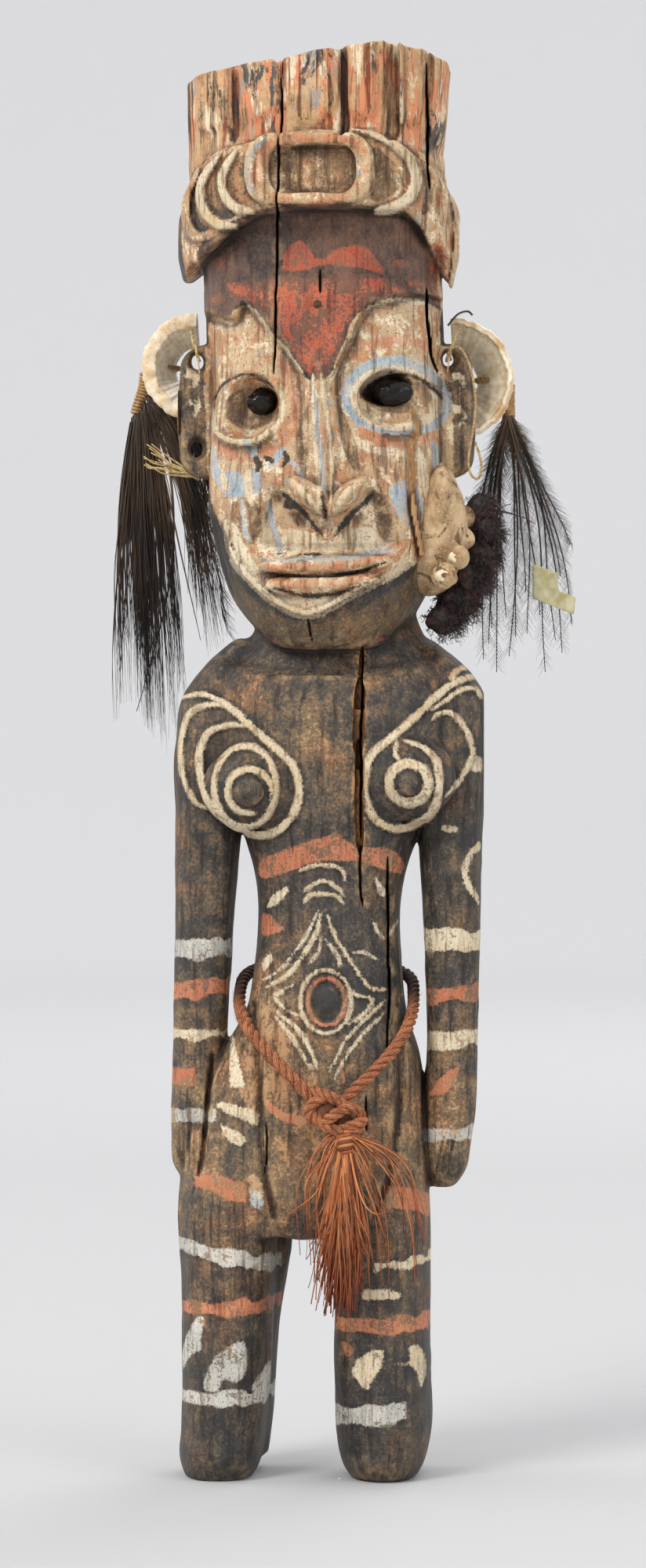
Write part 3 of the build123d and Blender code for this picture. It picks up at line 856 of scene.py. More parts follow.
# (paint, height of relief, outline)
PATCHES = [
    ("tan", 0.0, [(-72, 713), (-54, 712), (-52, 718), (-44, 722), (-36, 716), (-27, 704), (-20, 695),
        (-7, 677), (8, 677), (19, 700), (29, 718), (43, 724), (70, 725), (80, 700), (80, 560), (64, 566),
        (46, 557), (14, 541), (-9, 532), (-25, 539), (-45, 558), (-58, 584), (-66, 600), (-72, 640)]),
    ("cream", 0.0, [(-57, 590), (-50, 590), (-42, 568), (-36, 556), (-20, 546), (-5, 542), (12, 545),
        (30, 555), (46, 563), (58, 570), (46, 556), (30, 548), (14, 539), (-3, 531), (-14, 532), (-24, 537),
        (-33, 544), (-43, 554), (-51, 563), (-56, 577)]),
    ("tan", 0.0, [(-86, 784), (-80, 803), (-62, 815), (-30, 823), (0, 826), (30, 824), (50, 819), (68, 809),
        (79, 794), (84, 776), (84, 735), (74, 721), (72, 748), (60, 772), (36, 779), (0, 780), (-37, 777),
        (-61, 765), (-74, 755), (-72, 735), (-82, 733)]),
    ("umber", 0.0, [(-80, 713), (-54, 712), (-44, 724), (-28, 704), (-7, 677), (8, 677), (19, 700),
        (29, 718), (43, 724), (70, 725), (77, 740), (75, 757), (60, 773), (0, 781), (-37, 778), (-61, 767),
        (-78, 757)]),
    # Brown patches in the crown's recess and the eye dishes: grime and painted shade in the hollows.
    ("shade_and_grime", 0.0, ellipse(-2, 801, 27, 15)),
    ("shade_and_grime", 0.0, [(34, 814), (46, 808), (52, 797), (47, 787), (34, 783)]),
    ("shade_and_grime", 0.0, ellipse(-42, 660, 17, 13)), ("shade_and_grime", 0.0, ellipse(48, 668, 21, 12)),
    ("dark", 0.0, ellipse(41, 671, 16, 10)), ("dark", 0.0, ellipse(-34.5, 664, 8.4, 8.4)),
    ("cream", 0.0, [(-34, 590), (-20, 586), (-6, 583), (6, 577), (18, 583), (32, 586), (42, 584), (44, 574),
        (22, 571), (-2, 570), (-24, 570), (-36, 574)]),
    ("ochre", 0.0, [(-54, 560), (-44, 547), (-28, 535), (-6, 528), (16, 531), (44, 548), (62, 558),
        (62, 534), (46, 520), (4, 510), (-40, 522), (-54, 538)]),
    # Brown patches on the left cheek, beside the nose's ridge and right of the nose: grime and painted shade.
    ("shade_and_grime", 0.0, [(-50, 604), (-36, 600), (-34, 584), (-44, 574), (-54, 586)]),
    ("shade_and_grime", 0.0, [(-5, 660), (-4, 640), (-5, 622), (-11, 616), (-13, 628), (-11, 646)]),
    ("shade_and_grime", 0.0, [(13, 660), (15, 642), (19, 624), (26, 620), (24, 634), (19, 650)]),
    ("shade_and_grime", 0.0, [(34, 606), (42, 604), (46, 590), (42, 578), (36, 584)]),
    ("bare_and_shadow", 0.0, [(-62, 809), (-52, 812), (-58, 802), (-60, 792), (-56, 782), (-50, 775), (-58, 774),
        (-66, 782), (-68, 792), (-66, 802)]),
    ("bare_and_shadow", 0.0, [(-74, 800), (-69, 806), (-74, 796), (-76, 786), (-72, 774), (-66, 768), (-73, 768),
        (-78, 778), (-79, 790)]),
    ("bare_and_shadow", 0.0, [(-47, 808), (-42, 810), (-40, 800), (-42, 788), (-48, 788), (-52, 796)]),
    ("bare_and_shadow", 0.0, [(64, 808), (68, 800), (70, 792), (68, 780), (64, 777), (65, 786), (66, 797), (60, 810)]),
    ("scarlet", 0.3, [(-21, 743), (-19, 753), (-13, 759), (-8, 759), (-3, 752), (4, 748), (11, 754),
        (22, 757), (32, 754), (40, 740), (26, 743), (6, 745), (-10, 741)]),
    ("red", 0.0, [(67, 760), (79, 758), (79, 740), (73, 725), (68, 733)]),
    ("red", 0.0, [(-83, 750), (-74, 750), (-73, 736), (-82, 734)]),
    ("red", 0.0, [(-56, 737), (-40, 735), (-20, 739), (0, 737), (28, 740), (48, 735), (56, 728), (42, 726),
        (28, 719), (19, 700), (8, 680), (3, 672), (-7, 680), (-20, 698), (-36, 718), (-44, 724),
        (-54, 726)]),
    ("red", 0.0, [(-66, 752), (-58, 753), (-54, 747), (-62, 744)]),
    ("red", 0.0, ellipse(-64, 727, 7, 3.5)), ("red", 0.0, ellipse(50, 747, 5, 3)),
    ("red", 0.0, ellipse(60, 735, 6, 3)),
    ("salmon", 0.0, [(-38, 382), (-25, 388), (-5, 395), (11, 399), (18, 394), (27, 391), (41, 390),
        (50, 384), (49, 374), (36, 378), (25, 382), (13, 382), (3, 382), (-18, 376), (-37, 371)]),
    ("cream", 0.0, [(-34, 353), (-29, 361), (-19, 367), (-20, 362), (-28, 355)]),
    ("salmon", 0.0, [(-37, 349), (-31, 349), (-27, 344), (-22, 341), (-28, 337), (-37, 337)]),
    ("cream", 0.0, [(-36, 320), (-31, 326), (-30, 320), (-35, 314)]),
    ("cream", 0.0, [(34, 372), (38, 367), (41, 362), (37, 361)]),
    ("cream", 0.3, [(-56, 277), (-53, 268), (-50, 258), (-47, 249), (-46, 244), (-55, 243), (-56, 252)]),
    ("cream", 0.3, [(-63, 233), (-55, 233), (-38, 228), (-38, 220), (-46, 223), (-62, 229)]),
    ("cream", 0.3, [(-62, 221), (-58, 213), (-50, 207), (-45, 210), (-47, 214), (-56, 218)]),
    ("tan", 0.0, [(-43, 189), (-38, 189), (-34, 182), (-35, 176), (-42, 177)]),
    ("blue", 0.0, [(-42, 177), (-36, 177), (-34, 171), (-39, 169), (-42, 172)]),
    ("salmon", 0.0, [(66, 237), (73, 248), (81, 254), (86, 254), (80, 242), (78, 239)]),
    ("blue", 0.0, [(76, 216), (82, 215), (83, 210), (76, 209)]),
    ("salmon", 0.0, [(41, 182), (55, 182), (67, 175), (67, 162), (59, 167), (44, 170)]),
    ("cream", 0.0, [(27, 119), (38, 120), (49, 118), (49, 114), (38, 113), (27, 113)]),
    ("cream", 0.0, [(20, 68), (24, 77), (32, 82), (39, 82), (39, 75), (36, 68), (32, 63), (30, 58),
        (25, 61)]),
    ("salmon", 0.0, [(13, 86), (20, 84), (20, 79), (16, 78)]),
    ("cream", 0.0, [(55, 83), (59, 85), (63, 80), (65, 72), (64, 63), (62, 58), (60, 65), (57, 71),
        (47, 74), (55, 75)]),
    ("white", 0.0, [(-76, 101), (-71, 101), (-73, 88), (-73, 82), (-80, 77), (-86, 67), (-87, 75),
        (-83, 89)]),
    ("white", 0.0, [(-47, 88), (-45, 77), (-46, 66), (-51, 62), (-59, 64), (-62, 57), (-71, 58), (-69, 68),
        (-64, 78), (-58, 82)]),
    ("white", 0.0, [(-42, 57), (-38, 65), (-32, 72), (-32, 62), (-34, 54), (-38, 50)]),
    ("blue", 0.0, [(-66, 640), (-60, 622), (-48, 620), (-44, 606), (-54, 605), (-62, 613), (-67, 622)]),
    ("blue", 0.0, [(-43, 620), (-35, 620), (-34, 608), (-42, 607)]),
    ("dark", -0.6, [(-20, 603), (-13, 601), (-13, 597), (-20, 597)]),
    ("blue", 0.0, [(44, 610), (60, 614), (64, 600), (60, 585), (50, 592)]),
    ("cream", 0.0, [(93, 446), (99, 446), (99, 438), (93, 438)]),
    ("cream", 0.0, [(-86, 682), (-84, 687), (-78, 687), (-76, 680), (-80, 676), (-80, 681), (-83, 682)]),
    ("cream", 0.0, [(-85, 668), (-79, 671), (-75, 664), (-80, 656), (-80, 664), (-84, 664)]),
    ("cream", 0.0, [(80, 684), (87, 684), (90, 676), (85, 671), (86, 678), (81, 680)]),
    ("cream", 0.0, [(80, 664), (87, 664), (90, 656), (85, 651), (86, 658), (81, 660)]),
    ("cream", 0.0, [(97, 394), (91, 388), (87, 376), (90, 364), (97, 355), (97, 360), (93, 367), (91, 376),
        (94, 386), (98, 389)]),
    ("cream", 0.0, [(75, 404), (84, 403), (83, 400), (76, 400)]),
]
# (width, depth, points), straight down through the front of the log
CRACKS = [
    (3.2, 6, [(26, 514), (25.5, 497), (25, 480)]), (7.0, 6, [(25, 494), (24.5, 470), (24.3, 446)]),
    (5.4, 6, [(24.4, 456), (24.5, 430), (24.6, 405), (24.5, 388)]),
    (1.5, 6, [(24.5, 396), (25, 370), (26, 354)]),
    (1.6, 17, [(26.6, 512), (25.8, 470), (25.6, 430), (25.2, 396)]),
    (1.5, 6, [(41.5, 388), (41, 350), (42, 300), (41, 262)]),
    (1.5, 12, [(-21, 872), (-21.5, 840), (-22.5, 800), (-23.5, 778), (-24.5, 740), (-25, 712), (-26, 690),
        (-26.5, 679)]),
    (1.5, 9, [(66, 880), (66, 830), (66.5, 810), (68, 790)]),
    (1.7, 8, [(66, 736), (65.5, 721), (66.5, 706), (68, 693), (72, 684)]),
    (1.4, 5, [(29, 238), (28.5, 229), (29, 215)]), (1.3, 5, [(-33, 224), (-32, 208), (-33, 190)]),
    (1.5, 7, [(2, 742), (2, 734), (2.5, 728)]), (1.3, 4, [(-6, 531), (-5, 524), (-4, 517)]),
]
CHEEK_SLIVER = [
    (57, 658), (61, 648), (57.5, 641), (56.5, 634), (57, 618), (58.5, 596), (61, 582), (63, 570),
    (64.5, 548), (64, 533), (61, 527),
]


# ---------------------------------------------------------------- carving it
def carve_body():
    """Trunk, legs, arms, breasts with their middles, and the raised navel."""
    add_limb(TORSO, 4)
    add_limb(BETWEEN_THIGHS, 5)
    for leg in (LEFT_CALF, LEFT_LEG, RIGHT_LEG):
        add_limb(leg, 4, round_ends=3)
    add(*pebble((-44, -36, 428), (28, 24, 26), -20), 10)
    add(*pebble((56, -36, 434), (28, 24, 26), 20), 10)
    for arm in (LEFT_ARM, RIGHT_ARM):
        add_limb(arm, 3.5)
    add(*pebble((-42, -59, 425), (9.5, 6, 9.5)), 2)
    add(*pebble((55.5, -59, 430.5), (8.5, 6, 8.5)), 2)
    add(*pebble((4.5, -42.5, 296), (7.5, 4, 10.5)), 2)


def carve_head():
    """Head, nose, nostrils, lips, crown, the hood with its frame, and the ears."""
    add_limb(HEAD, 3)
    add_limb(NOSE, 6, round_ends=2)
    for x, turn in ((-7, 46), (21, -46)):
        add(*pebble((x, -82, 606), (18.5, 11, 7.6), turn), 4.0)
        cut(*pebble((x - 0.06 * turn, -84, 594), (7, 9, 3.4), turn), 1.5)
    add(*pebble((5, -73, 563), (42, 9, 6.5), -3), 3)
    add(*pebble((6, -72, 551.5), (37, 9, 6), -2), 3)
    add_limb(CROWN, 8)
    arch_x = np.array((-92, -70, -40, -4, 30, 60, 74, 90), float)
    top_z = np.array((776, 809, 819, 825, 822, 812, 800, 776), float)
    under_z = np.array((734, 752, 772, 779, 779, 772, 746, 722), float)

    def hood(x, y, z):
        round_wall = np.sqrt(((x + 3) / 86.5) ** 2 + ((y + 9) / 82) ** 2)
        wall = (round_wall - 1) * 82 + np.clip(756 - z, 0, 40) * 0.2
        level = np.maximum(between(x, arch_x, under_z) - z, z - between(x, arch_x, top_z))
        return smooth_max(smooth_max(wall, level, 5), y - 14, 3)

    add((-100, -100, 705), (100, 24, 835), hood, 2.5)

    def frame_block(x, y, z):
        return smooth_max(rounded_slab(x, z, -3, 801, 39, 22, 17), np.maximum(-97 - y, y + 60), 4)

    add((-50, -104, 770), (44, -50, 832), frame_block, 2)

    def frame_recess(x, y, z):
        return smooth_max(rounded_slab(x, z, -2, 801, 26.5, 14.5, 11), y + 88, 2)

    cut((-36, -104, 780), (32, -80, 822), frame_recess, 2.5)
    for x, holes in ((-71, ((-77.5, 692), (-78, 638))), (75.5, ((78.5, 693),))):
        add_ear(x, holes)


def add_ear(x_middle, holes):
    """A flat upright plate with a hollow dished in its front and holes right through."""
    outward = -1 if x_middle < 0 else 1

    def plate(x, y, z):
        lean = x_middle + outward * 2 * np.cos((z - 655) / 30)
        flat = rounded_slab(x, z, lean, 661, 17, 42, 14)
        dish = np.clip(3 - np.abs(z - 668) / 9, 0, 2.2) * np.clip((x - x_middle) * outward / 8, 0, 1)
        return smooth_max(flat, np.maximum(-15 - y + dish, y), 4)

    add((x_middle - 28, -24, 610), (x_middle + 28, 8, 712), plate, 2)
    for x, z in holes:
        cut(*hole(x, z, 3.5, 4.4), 1.5)


def hole(cx, cz, half_width, half_height):
    """A slanting oval hole from front to back. Gives its box and its field."""
    def shape(x, y, z):
        share = np.sqrt(((x - cx + 0.12 * (y + 7)) / half_width) ** 2 + ((z - cz) / half_height) ** 2)
        return (share - 1) * half_width + 0 * y

    return (cx - 8, -24, cz - 9), (cx + 8, 6, cz + 9), shape


def cut_face_hollows():
    """Eye dishes and sockets, and the hollows under the hood's sides."""
    for centre, radii, turn in (((-45, -62, 659.5), (23, 20, 19.5), 8), ((49, -63, 664), (26, 15, 18), 0)):
        cut(*pebble(centre, radii, turn), 1.8)
    cut(*pebble((-34, -52, 664), (9, 14, 8.5)), 1.5)
    cut(*pebble((41.5, -55, 671), (17.5, 18, 11), -5), 1.2)
    cut(*pebble((58, -57, 673), (12, 10, 3.0), -14), 1.5)
    cut(*pebble((72, -50, 743), (8, 22, 17)), 3)
    cut(*pebble((-76, -40, 741), (6, 16, 9)), 3)


# ---------------------------------------------------------------- relief on the front
# Outlines of what sinks below the brows and the nose's bridge
CHEEKBONES = [
    [(-84, 712), (-53, 712), (-44, 722), (-30, 707), (-10, 679), (-8, 640), (-10, 590), (-84, 590)],
    [(11, 677), (21, 700), (30, 718), (44, 724), (90, 725), (90, 590), (16, 590), (13, 640)],
]
# (height, width of its edge, outline)
SUNK_AREAS = [
    (-7.0, 12, [(-24, 608), (-8, 596), (6, 588), (22, 597), (34, 608), (44, 592), (44, 573), (6, 570),
        (-32, 573), (-34, 590)]),
    (-2.5, 12, [(-22, 650), (-10, 650), (-14, 606), (-30, 606)]),
    (-2.5, 12, [(20, 650), (32, 650), (42, 606), (26, 606)]),
    (-4.5, 9, [(-70, 586), (-57, 584), (-52, 566), (-34, 545), (-8, 532), (16, 541), (58, 565), (80, 560),
        (70, 505), (-60, 505)]),
]
NOSE_RIDGE = [(1.5, 684), (2.5, 655), (4, 625), (5.5, 598)]
# The crown's uprights (x, width, height, foot) and the grooves between them (x, width, depth)
CROWN_UPRIGHTS = [
    (-66, 24, 1.8, 838), (-34, 20, 2.0, 842), (-3, 30, 2.4, 850), (28, 18, 2.4, 842), (59, 9, 2.4, 834),
    (74, 9, 1.8, 824),
]
CROWN_GROOVES = [(-50, 5, -2.6), (16.5, 5, -4.5), (45.5, 9, -4.5), (66, 3, -2.0), (-21, 3, -1.5)]
CROWN_SPLINTER = [(50.5, 884), (50.8, 858), (50, 832)]
# (width, height, width of its edge, points): fingers, creases beside the hips, eyelids, the inside of the
# left forearm, and the sliver that stands off the right cheek
FINE_STROKES = [
    *((1.6, -1.6, 1.5, [(x + 4, 212), (x + 1, 198), (x - 1, 186)]) for x in (71.5, 75, 78.5)),
    *((1.6, -1.4, 1.5, [(x, 214), (x, 202), (x + 0.5, 192)]) for x in (-86, -82, -78)),
    (4.5, -4.0, 5, [(-42, 293), (-38, 262), (-36, 230), (-34, 195), (-28, 164)]),
    (4.5, -4.0, 5, [(51, 296), (49, 262), (48, 230), (44, 195), (34, 164)]),
    (3.4, 2.6, 1.6, [(-68, 671), (-61, 679), (-49, 684), (-36, 683), (-25, 675)]),
    (3.4, 2.6, 1.6, [(21, 668), (29, 678), (43, 684), (58, 683), (72, 676), (79, 668)]),
    (3.0, -5.0, 3, [(-68, 262), (-70.5, 230), (-72, 205), (-75, 189)]),
    (7.0, -2.0, 2, CHEEK_SLIVER),
    (3.4, 2.6, 1, CHEEK_SLIVER),
]


def shape_relief():
    """Everything low on the front: sunk cheeks, brows, bands, lips, fingers and the crown's uprights."""
    for outline in CHEEKBONES:
        raise_front(outline, 0, -6.5, soft=5, filled=True, fade=(600, 668))
    for height, soft, outline in SUNK_AREAS:
        raise_front(outline, 0, height, soft=soft, filled=True)
    for group in (LEFT_BREAST, RIGHT_BREAST, CREST_BANDS, BELLY, FACE, CHEEKS, FOREHEAD):
        for _, width, height, points in group:
            if height:
                raise_front(points, width, height, closed=is_ring(points))
    for _, height, points in PATCHES:
        if height:
            raise_front(points, 0, height, filled=True)
    raise_front(NOSE_RIDGE, 5, 3.2, soft=6)
    for x, width, height, foot in CROWN_UPRIGHTS:
        raise_front([(x, 886), (x, 850), (x - 0.5, foot)], width, height, soft=7)
    for x, width, depth in CROWN_GROOVES:
        raise_front([(x, 886), (x - 0.4, 850), (x + 0.5, 832), (x - 1, 822)], width, depth, soft=3)
    raise_front(CROWN_SPLINTER, 2.2, 5.0, soft=2)
    for width, height, soft, points in FINE_STROKES:
        raise_front(points, width, height, soft=soft)


def apply_relief():
    """Moves the log's front by the relief, fading out towards its sides."""
    front = np.clip(-(AXES[1] + 4) / 12, 0, 1)[None, :, None]
    levels_at_once = 96
    for start in range(0, len(AXES[2]), levels_at_once):
        levels = slice(start, start + levels_at_once)
        field[:, :, levels] -= relief[:, None, levels] * front


def apply_marks():
    """Broad, middling and fine blade marks, then flat soles."""
    marks = ((16, 16, 42), 0.8, 11), ((6, 6, 11), 0.35, 12), ((3.5, 3.5, 30), 0.16, 13)
    for spacing, height, seed in marks:
        field[:] += uneven(spacing, height, seed)
    field[:] = np.maximum(field, -AXES[2])


def cut_cracks():
    """Cuts each crack to its depth below the surface as it is, with a slow wander."""
    for width, depth, points in CRACKS:
        line, half = stroke_line(points, width, False)
        low, high = line.min(0) - width, line.max(0) + width
        cuts, x, y, z = window((low[0], GRID_LOW[1], low[1]), (high[0], -8, high[1]))
        wander = 0.22 * np.sin(z / 7.1) + 0.12 * np.sin(z / 2.3)
        px, pz = np.broadcast_arrays((x + wander)[:, 0, :], z[:, 0, :])
        distance = stroke_distance(px, pz, line, half)[:, None, :]
        field[cuts] = np.maximum(field[cuts], np.minimum(-distance, field[cuts] + depth))


def cut_crown_top():
    """Cuts the crown off along its sloping top, and its flutes round the sides and back."""
    cuts, x, y, z = window((-100, GRID_LOW[1], 850), (100, 77, 889))
    heights = np.interp(x, *np.array(CROWN_TOP, float).T)
    broken = 0.3 * np.sin(x / 3.1 + y / 7) + 0.4 * np.sin(y / 4.3 + x / 11)
    field[cuts] = smooth_max(field[cuts], (z - heights - broken).astype(np.float32), 2.0)
    for angle in range(-150, 181, 22):
        if -165 < angle < -15:
            continue
        at = math.radians(angle)
        x0, y0 = -4 + 82 * math.cos(at), -4 + 71 * math.sin(at)

        def flute(x, y, z):
            return np.hypot(x - x0, y - y0) - 4.5 + 0 * z

        cut((x0 - 9, y0 - 9, 826), (x0 + 9, y0 + 9, 889), flute, 3)


carve_body()
carve_head()
shape_relief()
apply_relief()
cut_face_hollows()
apply_marks()
cut_crown_top()
cut_cracks()


def blurred(volume, reach):
    """The mean of each cube of neighbours, by running sums."""
    result = volume
    for axis in range(3):
        padded = np.concatenate(
            [np.repeat(np.take(result, [0], axis), reach + 1, axis), result,
             np.repeat(np.take(result, [-1], axis), reach, axis)], axis)
        sums = np.cumsum(padded, axis, dtype=np.float64)
        count = 2 * reach + 1
        upper = np.take(sums, range(count, sums.shape[axis]), axis)
        lower = np.take(sums, range(0, sums.shape[axis] - count), axis)
        result = ((upper - lower) / count).astype(np.float32)
    return result


def carving_mesh():
    """The log's points and faces, and at each point how deep it lies among its close and wider neighbours."""
    grid = openvdb.FloatGrid(FAR)
    grid.copyFromArray(np.minimum(field, FAR))
    points, quads = grid.convertToQuads(0.0)
    index = np.clip(np.rint(points).astype(int), 0, np.array(field.shape) - 1)
    column = tuple(index.T)
    near = np.clip(field, -6, 6)
    small = blurred(near, 2)[column] - near[column]
    large = blurred(near, 6)[column] - near[column]
    return points.astype(float) * GRID_STEP + GRID_LOW, quads, small, large


# ---------------------------------------------------------------- paint on the carving
PAINTS = (
    "umber", "tan", "salmon", "red", "scarlet", "blue", "ochre", "shade_and_grime", "cream", "white", "dark", "raw",
)
GROUND_COATS = ("umber", "tan")
PAINT_REACH = 6.0
MOTIF_GROUPS = (FACE, CHEEKS, FOREHEAD, CREST_BANDS, BELLY, LEFT_BREAST, RIGHT_BREAST)
# How light and dusty the ground is at each height: 0 near-black paint, 1 dusty tan wood
GROUND_TONES = [
    (0, 0.30), (60, 0.30), (130, 0.40), (165, 0.52), (190, 0.60), (240, 0.58), (300, 0.42), (340, 0.37),
    (400, 0.36), (470, 0.42), (500, 0.34), (520, 0.28), (560, 0.28), (640, 0.28), (700, 0.24), (750, 0.24),
    (790, 0.70), (835, 1.00), (890, 1.05),
]
# (paint, dark colour, light colour, wear at which it starts to go, wear at which it is gone)
PAINT_COLOURS = (
    ("umber", "2f201a", "745543", 1.15, 1.30), ("tan", "ac865a", "dcc09a", 1.12, 1.28),
    ("salmon", "b96844", "e59a70", 0.95, 1.05), ("red", "a2452a", "dd8055", 0.83, 0.88),
    ("scarlet", "93391f", "c9623f", 0.98, 1.06), ("blue", "8494a0", "c3cdd0", 1.00, 1.12),
    ("ochre", "8a6a38", "c79c58", 0.87, 0.92), ("shade_and_grime", "54402e", "9c7c58", 0.98, 1.10),
    ("cream", "c9ae82", "f3e8cd", 1.00, 1.11), ("white", "a3a49e", "efe9db", 0.98, 1.08),
    ("dark", "1d1815", "3a2d24", 1.10, 1.25), ("raw", "8a5a30", "cf9c60", 1.3, 1.5),
)
# What shows on the weathered crown: (where its noise starts, where it is full, colour), by noise
CROWN_COLOURS = {
    "patchy": (0.44, 0.56, "d3ac80"), "streak": (0.49, 0.54, "d68b62"), "pale": (0.54, 0.60, "e8d6b6"),
    "weathered": (0.57, 0.63, "9d9890"), "flake": (0.57, 0.60, "56504c"), "specks": (0.62, 0.68, "6b4a30"),
}
PAINT_ROUGHNESS, WORN_ROUGHNESS = (0.5, 0.5, 0.5, 1), (0.78, 0.78, 0.78, 1)


def lay_paint(layers, paint, chosen, distance):
    """Puts one paint over the others, where distance is below 0. Ground coats go on under it."""
    for name, values in layers.items():
        if name == paint:
            values[chosen] = np.maximum(values[chosen], -distance)
        elif paint == "bare_and_shadow" or (name not in GROUND_COATS and paint not in GROUND_COATS):
            values[chosen] = np.minimum(values[chosen], distance)


def paint_layers(points, normals):
    """How far inside each paint's edge each point is, in millimetres."""
    layers = {paint: np.full(len(points), -PAINT_REACH) for paint in PAINTS}
    px, py, pz = points.T
    front = (normals[:, 1] < 0.3) & (py < 4)
    past_front = py + 5 - 4.5 * np.sin(pz / 19) - 2.5 * np.sin(pz / 7.3 + 1)

    def near(outline, margin):
        low, high = np.min(outline, axis=0) - margin, np.max(outline, axis=0) + margin
        return (px > low[0]) & (px < high[0]) & (pz > low[1]) & (pz < high[1])

    def patch(paint, outline):
        chosen = np.flatnonzero(near(outline, PAINT_REACH) & front)
        edge = smooth_line(outline, samples=4, closed=True)[:-1]
        distance = patch_distance(px[chosen], pz[chosen], edge)
        lay_paint(layers, paint, chosen, np.maximum(distance, past_front[chosen]))

    def stroke(paint, width, line, where=front):
        chosen = np.flatnonzero(near(line, PAINT_REACH + width / 2) & where)
        distance = stroke_distance(px[chosen], pz[chosen], *stroke_line(line, width, is_ring(line)))
        lay_paint(layers, paint, chosen, np.maximum(distance, past_front[chosen]))

    for paint, _, outline in PATCHES:
        patch(paint, outline)
    for paint, x_low, x_high, z_low, z_high, slope in ARM_BANDS:
        middle = (x_low + x_high) / 2
        round_limb = px + 0.8 * py
        rise = slope * (px - middle) + 0.8 * np.sin(round_limb / 4.3 + z_low)
        thinner = 0.5 + 0.9 * np.sin(round_limb / 6.1 + z_high) + 0.5 * np.sin(round_limb / 2.4 + slope)
        distance = np.maximum(z_low + rise - pz, pz - z_high - rise) + thinner
        distance = np.maximum(distance, np.maximum(x_low - px, px - x_high))
        chosen = np.flatnonzero(distance < PAINT_REACH)
        lay_paint(layers, paint, chosen, distance[chosen])
    for group in MOTIF_GROUPS:
        for paint, width, _, line in group:
            stroke(paint, width, np.array(line, float))
    stroke("raw", 4.0, np.array(CHEEK_SLIVER, float))
    for width, _, line in CRACKS[:3]:
        stroke("raw", width + 1.4, np.array(line, float), py < -12)
    return {name: np.clip(values, -PAINT_REACH, PAINT_REACH) for name, values in layers.items()}


def ground_tone(points):
    """How light and dusty the bare ground is, with spots that are dustier or darker than their height."""
    x, y, z = points.T
    tone = np.interp(z, *zip(*GROUND_TONES))
    dusty_hip = np.exp(-((x + 30) / 17) ** 2 - ((z - 280) / 38) ** 2)
    dark_side = np.exp(-((x - 38) / 16) ** 2 - ((z - 300) / 45) ** 2)
    dark_heart = np.exp(-((x - 4.5) / 9) ** 2 - ((z - 296) / 12) ** 2)
    dusty_chest = np.exp(-((x + 8) / 30) ** 2 - ((z - 460) / 44) ** 2)
    ears = np.clip((np.abs(x - 2) - 69) / 3, 0, 1)
    ears = ears * np.clip((z - 610) / 6, 0, 1) * np.clip((712 - z) / 6, 0, 1)
    chin = np.exp(-((z - 528) / 12) ** 2) * (y < -40)
    return (tone + 0.42 * dusty_hip - 0.14 * dark_side - 0.4 * dark_heart + 0.22 * dusty_chest + 0.3 * ears
            + 0.1 * chin)


